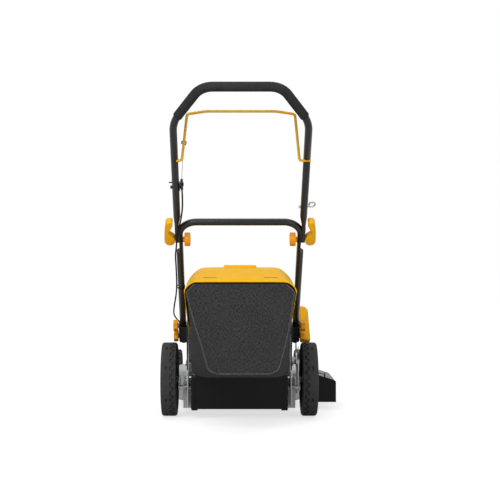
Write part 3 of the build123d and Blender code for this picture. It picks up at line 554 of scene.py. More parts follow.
class Workpiece:
    """A mesh in the making, shaped with bmesh operators in metres."""

    def __init__(self) -> None:
        """Starts with an empty mesh."""
        self.bm = bmesh.new()

    def block(self, low: Sequence[float], high: Sequence[float]) -> list[bmesh.types.BMVert]:
        """Adds a box between two corners given in millimetres and returns its vertices."""
        first, last = Vector(low) * MM, Vector(high) * MM
        place = Matrix.Translation((first + last) / 2) @ Matrix.Diagonal((*(last - first), 1.0))
        return bmesh.ops.create_cube(self.bm, size=1.0, matrix=place)["verts"]

    def rod(
        self,
        start: Sequence[float],
        end: Sequence[float],
        radius: float,
        sides: int = 32,
        tip: float | None = None,
    ) -> None:
        """Adds a round rod or cone.

        Args:
            start: Middle of the first end, in millimetres.
            end: Middle of the other end.
            radius: Radius at the first end.
            sides: Number of sides.
            tip: Radius at the other end, if it differs.
        """
        first, last = Vector(start) * MM, Vector(end) * MM
        turn = (last - first).to_track_quat("Z", "Y").to_matrix().to_4x4()
        bmesh.ops.create_cone(
            self.bm,
            cap_ends=True,
            cap_tris=False,
            segments=sides,
            radius1=radius * MM,
            radius2=(radius if tip is None else tip) * MM,
            depth=(last - first).length,
            matrix=Matrix.Translation((first + last) / 2) @ turn,
        )

    def slab(self, outline: Iterable[Sequence[float]], thickness: Sequence[float]) -> None:
        """Adds a flat outline, in millimetres, made thick along a vector."""
        face = self.bm.faces.new([self.bm.verts.new(Vector(point) * MM) for point in outline])
        self.pull([face], thickness)

    def pull(self, faces: Sequence[bmesh.types.BMFace], by: Sequence[float]) -> None:
        """Pulls faces out along a vector in millimetres."""
        made = bmesh.ops.extrude_face_region(self.bm, geom=list(faces))["geom"]
        moved = [part for part in made if isinstance(part, bmesh.types.BMVert)]
        bmesh.ops.translate(self.bm, vec=Vector(by) * MM, verts=moved)

    def loft(self, rows: Iterable[Iterable[Vector]]) -> None:
        """Spans one surface over rows of points in millimetres."""
        loops = []
        for row in rows:
            verts = [self.bm.verts.new(point * MM) for point in row]
            loops.append([self.bm.edges.new(pair) for pair in zip(verts, verts[1:])])
        for near, far in zip(loops, loops[1:]):
            bmesh.ops.bridge_loops(self.bm, edges=near + far)

    def look(self, way: Vector) -> None:
        """Turns the faces alike, so that the farthest one in a direction looks that way."""
        bmesh.ops.recalc_face_normals(self.bm, faces=self.bm.faces)
        farthest = max(self.bm.faces, key=lambda face: face.calc_center_median().dot(way))
        if farthest.normal.dot(way) < 0:
            bmesh.ops.reverse_faces(self.bm, faces=self.bm.faces)

    def edges_along(self, axis: int, least: float = 1.0) -> list[bmesh.types.BMEdge]:
        """The edges that reach more than a length, in millimetres, along an axis."""
        return [
            edge
            for edge in self.bm.edges
            if abs(edge.verts[0].co[axis] - edge.verts[1].co[axis]) > least * MM
        ]

    def soften(
        self,
        width: float,
        segments: int = 3,
        angle: float = 25.0,
        among: Iterable[bmesh.types.BMEdge] | None = None,
    ) -> None:
        """Rounds the edges that turn more than an angle.

        Args:
            width: Width of the rounding in millimetres.
            segments: Faces across the rounding.
            angle: Least turn in degrees.
            among: The edges to choose from; all of them if left out.
        """
        edges = self.bm.edges if among is None else among
        sharp = [
            edge
            for edge in edges
            if len(edge.link_faces) == 2 and edge.calc_face_angle(0.0) > math.radians(angle)
        ]
        bmesh.ops.bevel(
            self.bm,
            geom=sharp,
            offset=width * MM,
            offset_type="OFFSET",
            segments=segments,
            profile=0.5,
            affect="EDGES",
            clamp_overlap=True,
            material=-1,
        )

    def tube(
        self,
        points: Sequence[Vector],
        bend: float,
        radius: float,
        sides: int = 20,
        run_steps: int = 1,
    ) -> None:
        """Draws a ring along straight runs and round bends.

        Args:
            points: Corners of the route, in metres.
            bend: Radius of the bends in millimetres.
            radius: Radius of the tube in millimetres.
            sides: Number of sides.
            run_steps: Rings along each straight run.
        """
        way = (points[1] - points[0]).normalized()
        turn = way.to_track_quat("Z", "Y").to_matrix().to_4x4()
        ring = bmesh.ops.create_circle(
            self.bm, segments=sides, radius=radius * MM, matrix=Matrix.Translation(points[0]) @ turn
        )["verts"]
        edges = list({edge for vert in ring for edge in vert.link_edges})
        here = points[0]
        for corner, after in zip(points[1:-1], points[2:]):
            out = (after - corner).normalized()
            angle = way.angle(out)
            reach = bend * MM * math.tan(angle / 2)
            edges = self._run(edges, corner - way * reach - here, run_steps)
            axis = way.cross(out).normalized()
            centre = corner - way * reach + axis.cross(way) * bend * MM
            spun = bmesh.ops.spin(
                self.bm,
                geom=edges,
                cent=centre,
                axis=axis,
                angle=angle,
                steps=max(LEAST_BEND_STEPS, round(math.degrees(angle) / BEND_STEP)),
                use_duplicate=False,
            )
            edges = [part for part in spun["geom_last"] if isinstance(part, bmesh.types.BMEdge)]
            here = corner + out * reach
            way = out
        self._run(edges, points[-1] - here, run_steps)

    def _run(
        self, edges: list[bmesh.types.BMEdge], step: Vector, steps: int
    ) -> list[bmesh.types.BMEdge]:
        """Carries a ring straight on and returns the last ring's edges."""
        for _ in range(steps):
            made = bmesh.ops.extrude_edge_only(self.bm, edges=edges)["geom"]
            fresh = {part for part in made if isinstance(part, bmesh.types.BMVert)}
            bmesh.ops.translate(self.bm, vec=step / steps, verts=list(fresh))
            around = (edge for vert in fresh for edge in vert.link_edges)
            edges = list({edge for edge in around if all(vert in fresh for vert in edge.verts)})
        return edges

    def close(self) -> None:
        """Closes the open ends."""
        bmesh.ops.holes_fill(self.bm, edges=[edge for edge in self.bm.edges if edge.is_boundary])

    def place(self, matrix: Matrix) -> None:
        """Moves the whole mesh by a matrix."""
        bmesh.ops.transform(self.bm, matrix=matrix, space=Matrix.Identity(4), verts=self.bm.verts)

    def finish(
        self,
        name: str,
        finish: Finish,
        body: str | None,
        replaces: Sequence[str] = (),
        sharp: float = 32.0,
        outwards: bool = True,
    ) -> bpy.types.Object:
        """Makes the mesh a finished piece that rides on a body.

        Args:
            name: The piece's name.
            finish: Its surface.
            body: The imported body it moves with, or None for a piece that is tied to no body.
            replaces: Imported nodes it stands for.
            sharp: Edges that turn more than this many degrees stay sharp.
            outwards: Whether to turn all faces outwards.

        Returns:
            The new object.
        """
        if outwards:
            bmesh.ops.recalc_face_normals(self.bm, faces=self.bm.faces)
        mesh = bpy.data.meshes.new(name)
        self.bm.to_mesh(mesh)
        self.bm.free()
        mesh.materials.append(finish.material())
        mesh.shade_smooth()
        mesh.set_sharp_from_angle(angle=math.radians(sharp))
        piece = put_in_scene(name, mesh)
        if body:
            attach(piece, body)
        if replaces:
            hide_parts(*replaces)
        LOG.info("%s, %d faces, rides on %s", name, len(mesh.polygons), body or "two bodies")
        return piece


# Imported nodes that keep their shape


@dataclass
class PackedNodes:
    """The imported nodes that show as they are, with finishes and small edge roundings."""

    rounding: float = 0.8
    edge_angle: float = 35.0
    weld: float = 0.01
    flat_angle: float = 1.0
    plain: tuple[str, ...] = ("rope_guide",)

    def dress(self) -> None:
        """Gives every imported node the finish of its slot."""
        for part in frame["record"]["subparts"]:
            node = frame["nodes"][part["node"]]
            node.data.materials.clear()
            node.data.materials.append(FINISHES[part["material_slot"]].material())

    def round_edges(self) -> None:
        """Breaks the shown nodes' sharp edges, as pressing, moulding or casting leaves them."""
        for name, node in frame["nodes"].items():
            if node.hide_render or name in self.plain:
                continue
            weld = node.modifiers.new("weld", "WELD")
            weld.merge_threshold = self.weld * MM
            flat = node.modifiers.new("flat", "DECIMATE")
            flat.decimate_type = "DISSOLVE"
            flat.angle_limit = math.radians(self.flat_angle)
            break_edges(node, self.rounding, 2, self.edge_angle)


# Sub-assemblies


@dataclass
class FoamGrip:
    """The foam sleeve on the top bar."""

    top_v: float = 1041.0
    top_half: float = 113.0
    end_x: float = 181.9
    end_v: float = 935.1
    bend: float = 60.0
    radius: float = 14.0
    end_round: float = 2.0

    def build(self) -> None:
        """Builds the sleeve."""
        route = [
            DRAWING.on_handle(-self.end_x, self.end_v, 0),
            DRAWING.on_handle(-self.top_half, self.top_v, 0),
            DRAWING.on_handle(self.top_half, self.top_v, 0),
            DRAWING.on_handle(self.end_x, self.end_v, 0),
        ]
        sleeve = Workpiece()
        sleeve.tube(route, self.bend, self.radius, sides=28, run_steps=8)
        sleeve.close()
        sleeve.soften(self.end_round, angle=60.0)
        piece = sleeve.finish("foam_sleeve", FOAM, "upper_handle", ["foam_grip"])


@dataclass
class StarKnob:
    """A six-lobed clamping knob on a handle bolt."""

    lobes: int = 6
    outer: float = 21.6
    waist: float = 0.74
    inner_x: float = 207.3
    outer_x: float = 223.0
    neck: float = 8.0
    neck_x: float = 204.9
    lobe_round: float = 4.0
    rim_round: float = 2.2
    boss: float = 9.0
    boss_tip: float = 8.2
    boss_foot: float = 12.0
    boss_proud: float = 0.5

    def build(self, side: Side, level: str, v: float) -> None:
        """Builds one knob.

        Args:
            side: The side of the mower.
            level: The knob's place in the pair, lower or upper.
            v: Its place along the handle.
        """
        knob = Workpiece()
        ring = bmesh.ops.create_circle(
            knob.bm, cap_ends=True, segments=2 * self.lobes, radius=self.outer * MM
        )["verts"]
        hollows = [vert for index, vert in enumerate(ring) if index % 2 == 0]
        bmesh.ops.scale(knob.bm, vec=(self.waist, self.waist, 1.0), verts=hollows)
        thickness = self.outer_x - self.inner_x
        knob.pull(knob.bm.faces, (0, 0, thickness))
        knob.soften(self.lobe_round, segments=4, angle=10.0, among=knob.edges_along(2))
        knob.soften(self.rim_round, angle=60.0)
        knob.rod((0, 0, self.neck_x - self.inner_x), (0, 0, 1), self.neck)
        top = (0, 0, thickness + self.boss_proud)
        knob.rod((0, 0, self.boss_foot), top, self.boss, tip=self.boss_tip)
        turn = Matrix.Rotation(math.radians(90.0 * side.value), 4, "Y")
        knob.place(Matrix.Translation(DRAWING.on_handle(side.value * self.inner_x, v, 0)) @ turn)
        name = f"{side.word}_{level}_star_knob"
        knob.finish(f"{name}_moulding", SHADED_KNOB_PLASTIC, name, [name])


@dataclass
class FoldClamp:
    """The cam lever outside and the tension knob inside the handle's fold."""

    fold_v: float = 445.0
    cam_x: float = 219.9
    cam_radius: float = 16.2
    cam_turns: range = range(180, 325, 16)
    arm: tuple[tuple[float, float], ...] = (
        (16.2, -3), (16.8, 5), (15.5, 42), (11.5, 74), (6, 82), (-7, 83),
        (-11, 78), (-10, 66), (2, 40), (1, 28), (-12, 17), (-16, 10),
    )
    half_width: float = 13.0
    lever_round: float = 2.4
    pin: float = 3.4
    pin_proud: float = 1.2
    knob: float = 21.6
    knob_inner_x: float = 156.0
    knob_outer_x: float = 174.0
    knob_sides: int = 48
    knob_round: float = 1.6
    flute_step: int = 4
    collar: float = 9.0
    collar_x: tuple[float, float] = (173.0, 178.6)
    cap: tuple[float, float] = (13.0, 15.0)
    cap_x: tuple[float, float] = (155.4, 160.0)

    def build(self, side: Side) -> None:
        """Builds the lever and the knob of one side."""
        self._lever(side)
        self._knob(side)

    def _lever(self, side: Side) -> None:
        """Builds the lever: a round cam and a notched arm."""
        lever = Workpiece()
        turns = [math.radians(degrees) for degrees in self.cam_turns]
        cam = [(self.cam_radius * math.cos(a), self.cam_radius * math.sin(a)) for a in turns]
        lever.slab(
            [(self.cam_x + x, self.fold_v + v, -self.half_width) for x, v in (*cam, *self.arm)],
            (0, 0, 2 * self.half_width),
        )
        lever.soften(self.lever_round, angle=40.0)
        reach = self.half_width + self.pin_proud
        lever.rod((self.cam_x, self.fold_v, -reach), (self.cam_x, self.fold_v, reach), self.pin)
        self._mount(lever, side, "cam_lever", LEVER_PLASTIC)

    def _knob(self, side: Side) -> None:
        """Builds the fluted tension knob with its collar and cap."""
        knob = Workpiece()
        knob.rod(
            (self.knob_inner_x, self.fold_v, 0),
            (self.knob_outer_x, self.fold_v, 0),
            self.knob,
            sides=self.knob_sides,
        )
        flutes = knob.edges_along(0)[:: self.flute_step]
        knob.soften(self.knob_round, segments=2, angle=2.0, among=flutes)
        knob.soften(self.knob_round, angle=60.0)
        collar, cap = ([(x, self.fold_v, 0) for x in ends] for ends in (self.collar_x, self.cap_x))
        knob.rod(*collar, self.collar)
        knob.rod(*cap, self.cap[0], tip=self.cap[1])
        self._mount(knob, side, "tension_knob", SHADED_KNOB_PLASTIC)

    def _mount(self, made: Workpiece, side: Side, word: str, finish: Finish) -> None:
        """Sets a moulding on its side of the handle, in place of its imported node.

        Args:
            made: The moulding, drawn for the right side.
            side: The side it belongs to.
            word: Its node's name without the side.
            finish: Its surface.
        """
        made.place(DRAWING.handle() @ Matrix.Diagonal((side.value, 1, 1, 1)))
        name = f"{side.word}_{word}"
        made.finish(f"{name}_moulding", finish, name, [name])


@dataclass
class ControlCable:
    """The brake cable from its stop on the handle to the engine, and its inner wire to the bail."""

    radius: float = 2.5
    wire: float = 0.9
    wire_gap: float = 10.0
    wire_cuts: int = 6
    stop_x: float = -176.0
    stop_v: float = 665.0
    stop_w: float = 4.0
    stop_reach: float = 33.5
    pin: float = 2.2
    pin_rise: float = 19.0
    pin_x: tuple[float, float] = (-205.4, -214.6)
    bend_from: Point = (-200.0, 390.0, 0.0)
    bend_to: Point = (-200.0, 545.0, 0.0)
    bail_v: float = 776.0
    bail_w: float = 7.0
    bail_tilt: float = math.radians(14.0)
    leg_x: float = -173.0
    leg_lean: float = 18.0
    leg_length: float = 149.0
    hook_reach: float = 58.0
    hook_wire: float = 1.6
    hook_bend: float = 2.6
    hook_route: tuple[tuple[float, float], ...] = (
        (-11.0, -0.5), (-5.0, 6.2), (5.5, 6.2), (5.5, -6.2), (-4.0, -6.2),
    )
    along_handle: tuple[Point, ...] = (
        (-176.0, 658.8, 4.0),
        (-175.0, 600.0, 7.0),
        (-181.0, 552.0, 16.5),
        (-197.0, 470.0, 19.0),
        (-200.0, 425.0, 19.0),
        (-205.0, 385.0, 9.0),
        (-204.5, 330.0, 3.0),
        (-204.5, 217.0, 3.0),
        (-221.0, 112.0, 3.0),
    )
    to_engine: tuple[Point, ...] = (
        (-219.0, -28.0, 338.0),
        (-190.0, 60.0, 300.0),
        (-112.0, 202.0, 224.0),
        (-94.6, 242.0, 214.0),
        (-94.6, 268.0, 214.0),
    )

    def _spline(self, route: Sequence[Vector], thick: float) -> bpy.types.Mesh:
        """A smooth line through a route's points, bare or as a tube.

        Args:
            route: Control points in metres.
            thick: Radius in millimetres, or 0 for the bare line.

        Returns:
            The line's mesh.
        """
        curve = bpy.data.curves.new("route", "CURVE")
        curve.dimensions = "3D"
        curve.resolution_u = 10
        curve.bevel_depth = thick * MM
        curve.bevel_resolution = 3
        curve.use_fill_caps = True
        spline = curve.splines.new("NURBS")
        spline.points.add(len(route) - 1)
        for point, place in zip(spline.points, route):
            point.co = (*place, 1.0)
        spline.order_u = 3
        spline.use_endpoint_u = True
        holder = put_in_scene("route", curve)
        mesh = bpy.data.meshes.new_from_object(holder)
        bpy.data.objects.remove(holder)
        return mesh

    def build(self) -> None:
        """Builds the cable, its inner wire and the hook on the bail."""
        route = [DRAWING.on_handle(*point) for point in self.along_handle]
        route += [DRAWING.at(*point) for point in self.to_engine]
        mesh = self._spline(route, self.radius)
        mesh.name = "control_cable"
        mesh.materials.append(CABLE_JACKET.material())
        mesh.shade_smooth()
        cable = put_in_scene("control_cable", mesh)
        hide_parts("cable_upper", "cable_lower")
        DRAWING.on_handle(*self.bend_from)
        DRAWING.on_handle(*self.bend_to)
        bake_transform(cable)
        line = self._spline(route, 0.0)
        self._inner_wire()

    def hook_place(self) -> Vector:
        """Where the inner wire hooks onto the bail's left leg."""
        share = self.hook_reach / self.leg_length
        return DRAWING.on_handle(
            self.leg_x + self.leg_lean * share,
            self.bail_v + self.hook_reach * math.cos(self.bail_tilt),
            self.bail_w - self.hook_reach * math.sin(self.bail_tilt),
        )

    def _inner_wire(self) -> None:
        """Builds the bare wire between the stop and the bail, its hook and the stop's pin."""
        hook = self.hook_place()
        stop = DRAWING.on_handle(self.stop_x, self.stop_v + self.stop_reach, self.stop_w)
        along = (hook - stop).normalized()
        side = Vector((1, 0, 0))
        eye = Workpiece()
        eye.tube(
            [hook + along * (a * MM) + side * (b * MM) for a, b in self.hook_route],
            self.hook_bend,
            self.hook_wire,
            sides=10,
        )
        eye.close()
        eye.finish("bail_wire_hook", BLACK_TUBE, "bail")
        pin = Workpiece()
        pin.rod(*((x, self.stop_v + self.pin_rise, 0) for x in self.pin_x), self.pin, sides=16)
        pin.soften(0.6, segments=2, angle=60.0)
        pin.place(DRAWING.handle())
        pin.finish("cable_stop_pin", BLACK_TUBE, "upper_handle")
        end = hook - along * (self.wire_gap * MM)
        wire = Workpiece()
        wire.rod(stop / MM, end / MM, self.wire, sides=10)
        long_edges = [edge for edge in wire.bm.edges if edge.calc_length() > 50 * MM]
        bmesh.ops.subdivide_edges(wire.bm, edges=long_edges, cuts=self.wire_cuts)
        piece = wire.finish("bail_wire", ZINC_STEEL, None)
        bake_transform(piece)


@dataclass(frozen=True)
class Creases:
    """Broad and fine creases of slack cloth.

    Attributes:
        grain: Broad creases per millimetre along each axis, roughly.
        broad: Depth of the broad creases in millimetres.
        fine: Depth of the fine creases in millimetres.
        finer: How many fine creases go with a broad one.
    """

    grain: Point
    broad: float
    fine: float
    finer: float

    def depth(self, x: float, y: float, z: float) -> float:
        """Depth of the creases at a point, in millimetres."""
        seed = Vector((x * self.grain[0], y * self.grain[1], z * self.grain[2]))
        return noise.noise(seed) * self.broad + noise.noise(seed * self.finer) * self.fine


@dataclass
class BagCloth:
    """The hanging cloth of the grass bag: a trough, a back panel and the binding between them."""

    front: float = -48.0
    rear: float = -462.0
    skirt_front: float = 287.0
    skirt_slope: float = 0.3706
    high: float = 470.0
    lip: float = 464.0
    lip_half: float = 141.0
    hoops: int = 27
    sections: tuple[tuple[float, float, float, float, float], ...] = (
        (-48.0, 161.0, 160.0, 153.0, 16.0),
        (-200.0, 166.0, 157.0, 154.0, 30.0),
        (-360.0, 170.0, 138.0, 173.0, 38.0),
        (-462.0, 173.0, 105.0, 188.0, 24.0),
    )
    askew: float = 9.0
    billow: float = 4.0
    thickness: float = 1.2
    tape: float = 4.5
    tape_thickness: float = 2.6
    panel_cells: int = 30
    side_steps: int = 12
    corner_steps: int = 6
    lean_drop: float = 170.0
    creases: Creases = Creases((0.013, 0.012, 0.017), 3.4, 1.4, 2.6)
    fold_waves: tuple[float, float] = (0.05, 0.024)
    fold_depth: float = 1.3
    hang_in: float = 1.5
    hang_down: float = 2.5
    low_z: float = 150.0
    slack_x: float = 110.0
    panel_creases: Creases = Creases((0.012, 1.0, 0.009), 6.5, 2.2, 2.9)
    panel_seed: float = 3.1
    panel_swell: float = 3.0
    crease_x: float = -118.0
    crease_top: float = 458.0
    crease_slant: float = 0.16
    crease_width: float = 13.0
    crease_depth: float = 6.0

    def skirt(self, y: float) -> float:
        """Height of the cloth's upper hem, just inside the cover's skirt."""
        return self.skirt_front + (self.front - y) * self.skirt_slope

    def section(self, y: float) -> tuple[float, ...]:
        """Half widths at the top and bottom, bottom height and corner radius at a place."""
        for near, far in zip(self.sections, self.sections[1:]):
            if y >= far[0]:
                share = (near[0] - y) / (near[0] - far[0])
                return tuple(a + (b - a) * share for a, b in zip(near[1:], far[1:]))
        return self.sections[-1][1:]

    def half_width(self, y: float, z: float) -> float:
        """Half width of the taut cloth at a height, with the rounding of its lower corner.

        Args:
            y: Place along the bag.
            z: Height.

        Returns:
            The half width in millimetres.
        """
        top_half, bottom_half, bottom, corner = self.section(y)
        share = (z - bottom) / (self.high - bottom)
        back = (self.front - y) / (self.front - self.rear)
        half = bottom_half + (top_half - bottom_half) * share
        half += self.billow * back * math.sin(math.pi * min(max(share, 0.0), 1.0))
        rise = z - bottom
        if rise < corner:
            half -= corner - math.sqrt(max(corner**2 - (corner - rise) ** 2, 0.0))
        return half

    def lean(self, y: float, z: float) -> float:
        """How far the slack cloth hangs to the right at a place, in millimetres."""
        back = (self.front - y) / (self.front - self.rear)
        return self.askew * back**2 * min(1.0, max(0.0, (self.skirt(y) - z) / self.lean_drop))

    def sag(self, point: Vector) -> Vector:
        """The shift from the taut place to where the cloth hangs and creases.

        Args:
            point: A taut point in millimetres.

        Returns:
            The shift in millimetres.
        """
        share = (self.front - point.y) / (self.front - self.rear)
        span = math.sin(math.pi * min(max(share, 0.0), 1.0)) ** 0.7
        low = min(1.0, max(0.0, 1.0 - (point.z - self.low_z) / self.low_z))
        side = math.copysign(min(1.0, abs(point.x) / self.slack_x) ** 3, point.x)
        crease = self.creases.depth(*point)
        wave_y, wave_z = self.fold_waves
        folds = math.sin(point.y * wave_y + point.z * wave_z) * self.fold_depth
        inwards = (crease + folds - self.hang_in) * side * span
        return Vector((inwards, 0.0, (crease - self.hang_down) * low * span))

    def build(self) -> None:
        """Builds the cloth and its binding."""
        cloth = Workpiece()
        self._trough(cloth)
        panel = Workpiece()
        rim = self._panel(panel)
        self._binding(panel, rim)
        whole = bpy.data.meshes.new("panel")
        panel.bm.to_mesh(whole)
        panel.bm.free()
        cloth.bm.from_mesh(whole)
        bpy.data.meshes.remove(whole)
        self._unwrap(cloth)
        cloth.place(DRAWING.matrix())
        area = sum(face.calc_area() for face in cloth.bm.faces)
        piece = cloth.finish(
            "bag_cloth", BAG_CLOTH, "bag", ["bag_fabric"], sharp=70.0, outwards=False
        )
        thicken(piece, self.thickness, -1.0)

    def _trough(self, cloth: Workpiece) -> None:
        """Lofts the sides and the bottom through hoops from front to rear."""
        rows = []
        sides, turns = self.side_steps, self.corner_steps
        for step in range(self.hoops):
            y = self.front + (self.rear - self.front) * step / (self.hoops - 1)
            _, _, bottom, corner = self.section(y)
            top = self.skirt(y)
            heights = [top + (bottom + corner - top) * k / sides for k in range(sides + 1)]
            heights += [
                bottom + corner * (1 - math.sin(math.pi * k / (2 * turns)))
                for k in range(1, turns + 1)
            ]
            right = [Vector((self.half_width(y, z), y, z)) for z in heights]
            floor = [1 - k / turns for k in range(1, turns + 1)]
            right += [Vector((right[-1].x * share, y, bottom)) for share in floor]
            hoop = right + [Vector((-p.x, p.y, p.z)) for p in reversed(right[:-1])]
            rows.append([p + self.sag(p) + Vector((self.lean(y, p.z), 0, 0)) for p in hoop])
        cloth.loft(rows)
        cloth.look(Vector((0, 0, -1)))

    def _panel(self, panel: Workpiece) -> list[bmesh.types.BMFace]:
        """Warps a grid to the back panel's outline, billowed and creased.

        Args:
            panel: An empty mesh.

        Returns:
            The faces along the panel's rim.
        """
        bm = panel.bm
        bottom = self.section(self.rear)[2]
        hem = self.skirt(self.rear)
        cells = self.panel_cells
        bmesh.ops.create_grid(bm, x_segments=cells, y_segments=cells, size=1.0)
        for vert in bm.verts:
            u, v = vert.co.x, (vert.co.y + 1) / 2
            z = bottom + (self.lip - bottom) * v
            half = self.half_width(self.rear, min(z, hem))
            if z > hem:
                half += (self.lip_half - half) * (z - hem) / (self.lip - hem)
            x = u * half + self.lean(self.rear, z)
            swell = (1 - u**2) * math.sin(math.pi * min(v * 0.9 + 0.1, 1.0))
            crease = self.panel_creases.depth(x, self.panel_seed, z)
            aside = x - self.crease_x - (self.crease_top - z) * self.crease_slant
            fold = math.exp(-((aside / self.crease_width) ** 2)) * self.crease_depth
            calm = min(1.0, (1 - abs(u)) * 6) * min(1.0, v * 8, (1 - v) * 10)
            y = self.rear - 1.0 - swell * self.panel_swell - (crease + fold) * calm
            vert.co = Vector((x, y, z)) * MM
        panel.look(Vector((0, -1, 0)))
        made = bmesh.ops.inset_region(
            bm, faces=bm.faces, thickness=self.tape * MM, use_boundary=True, use_even_offset=True
        )
        return made["faces"]

    def _binding(self, panel: Workpiece, rim: list[bmesh.types.BMFace]) -> None:
        """Builds the tape that binds the panel's sides and bottom to the trough.

        Args:
            panel: The panel's mesh.
            rim: The faces along its rim.
        """
        for face in panel.bm.faces:
            face.tag = face in rim and face.calc_center_median().z < (self.lip - 3.0) * MM
        tape = Workpiece()
        tape.bm = panel.bm.copy()
        loose = [face for face in tape.bm.faces if not face.tag]
        bmesh.ops.delete(tape.bm, geom=loose, context="FACES")
        bmesh.ops.translate(tape.bm, vec=(0, -0.8 * MM, 0), verts=tape.bm.verts)
        self._unwrap(tape)
        tape.place(DRAWING.matrix())
        piece = tape.finish("bag_binding", BINDING, "bag", outwards=False)
        thicken(piece, self.tape_thickness, 0.0)
        break_edges(piece, 1.0, 3, 30.0)

    def _unwrap(self, cloth: Workpiece) -> None:
        """Writes a UV map in metres, each face from the side that it looks to."""
        layer = cloth.bm.loops.layers.uv.verify()
        for face in cloth.bm.faces:
            across = max(range(3), key=lambda axis: abs(face.normal[axis]))
            first, second = [axis for axis in range(3) if axis != across]
            for loop in face.loops:
                loop[layer].uv = (loop.vert.co[first], loop.vert.co[second])


@dataclass
class BagCover:
    """The hard cover over the cloth, with its raised pad and two vents, whose open slots are
    painted shade: flat black blocks.
    """

    half: float = 171.0
    skirt_front: float = 282.0
    skirt_slope: float = 0.3706
    front: float = -48.0
    bulge: float = 0.55
    stations: tuple[tuple[float, float, float, float], ...] = (
        (-48.0, 316.0, 16.0, 14.0),
        (-54.0, 324.0, 18.0, 17.0),
        (-110.0, 397.0, 40.0, 40.0),
        (-180.0, 484.0, 57.0, 56.0),
        (-204.0, 503.0, 55.0, 57.0),
        (-236.0, 511.0, 53.0, 58.0),
        (-300.0, 512.0, 53.0, 58.0),
        (-356.0, 504.0, 51.0, 55.0),
        (-410.0, 490.0, 45.0, 47.0),
        (-446.0, 480.0, 38.0, 37.0),
        (-461.0, 475.0, 34.0, 30.0),
        (-467.0, 470.0, 32.0, 27.0),
    )
    pad_half: float = 52.0
    pad_front: float = -205.0
    pad_rear: float = -300.0
    pad_top: float = 517.5
    vent_from: float = 72.0
    vent_to: float = 114.0
    vent_y: float = -439.0
    vent_z: float = 481.6
    vent_tilt: float = math.radians(15.5)
    vent_half: float = 2.2
    thickness: float = 2.6
    corner_steps: int = 6

    def build(self) -> None:
        """Builds the shell, the pad and the black blocks of painted shade at the vents."""
        self._shell()
        pad = Workpiece()
        pad.block(
            (-self.pad_half, self.pad_rear, self.pad_top - 12),
            (self.pad_half, self.pad_front, self.pad_top),
        )
        pad.soften(2.5, segments=4, angle=30.0)
        pad.place(DRAWING.matrix())
        pad.finish("bag_cover_pad", COVER_PLASTIC, "bag")
        for side in Side:
            self._vent(side)

    def _shell(self) -> None:
        """Lofts the shell through its hoops."""
        cover = Workpiece()
        rows = []
        for y, crown, width, drop in self.stations:
            flat = self.half - width
            right = [(0.0, crown), (flat * 0.5, crown), (flat, crown)]
            for k in range(1, self.corner_steps + 1):
                share = k / self.corner_steps
                turn = math.pi / 2 * share
                arc = Vector((math.sin(turn), math.cos(turn) - 1))
                bent = Vector((share, -share)).lerp(arc, self.bulge)
                right.append((flat + width * bent.x, crown + drop * bent.y))
            low = crown - drop
            skirt = min(self.skirt_front + (self.front - y) * self.skirt_slope, low - 2.0)
            right += [(self.half, (skirt + low) / 2), (self.half, skirt)]
            hoop = [(-x, z) for x, z in reversed(right)] + right[1:]
            rows.append([Vector((x, y, z)) for x, z in hoop])
        cover.loft(rows)
        cover.look(Vector((0, 0, 1)))
        cover.place(DRAWING.matrix())
        piece = cover.finish(
            "bag_cover_shell", COVER_PLASTIC, "bag", ["bag_cover"], sharp=180.0, outwards=False
        )
        smooth = piece.modifiers.new("smooth", "SUBSURF")
        smooth.levels = smooth.render_levels = 2
        thicken(piece, self.thickness, -1.0)
        break_edges(piece, 0.8, 2, 50.0)

    def _vent(self, side: Side) -> None:
        """Builds a black block flush with the cover: painted shade that stands in for one vent's
        open slot.
        """
        vent = Workpiece()
        middle = (self.vent_from + self.vent_to) / 2
        reach = (self.vent_to - self.vent_from) / 2
        vent.block((-reach, -self.vent_half, -1.6), (reach, self.vent_half, 0.4))
        vent.soften(0.6, segments=2, angle=30.0)
        place = DRAWING.at(side.value * middle, self.vent_y, self.vent_z)
        vent.place(Matrix.Translation(place) @ Matrix.Rotation(self.vent_tilt, 4, "X"))
        vent.finish(f"{side.word}_bag_vent", BLACK_PLASTIC, "bag")


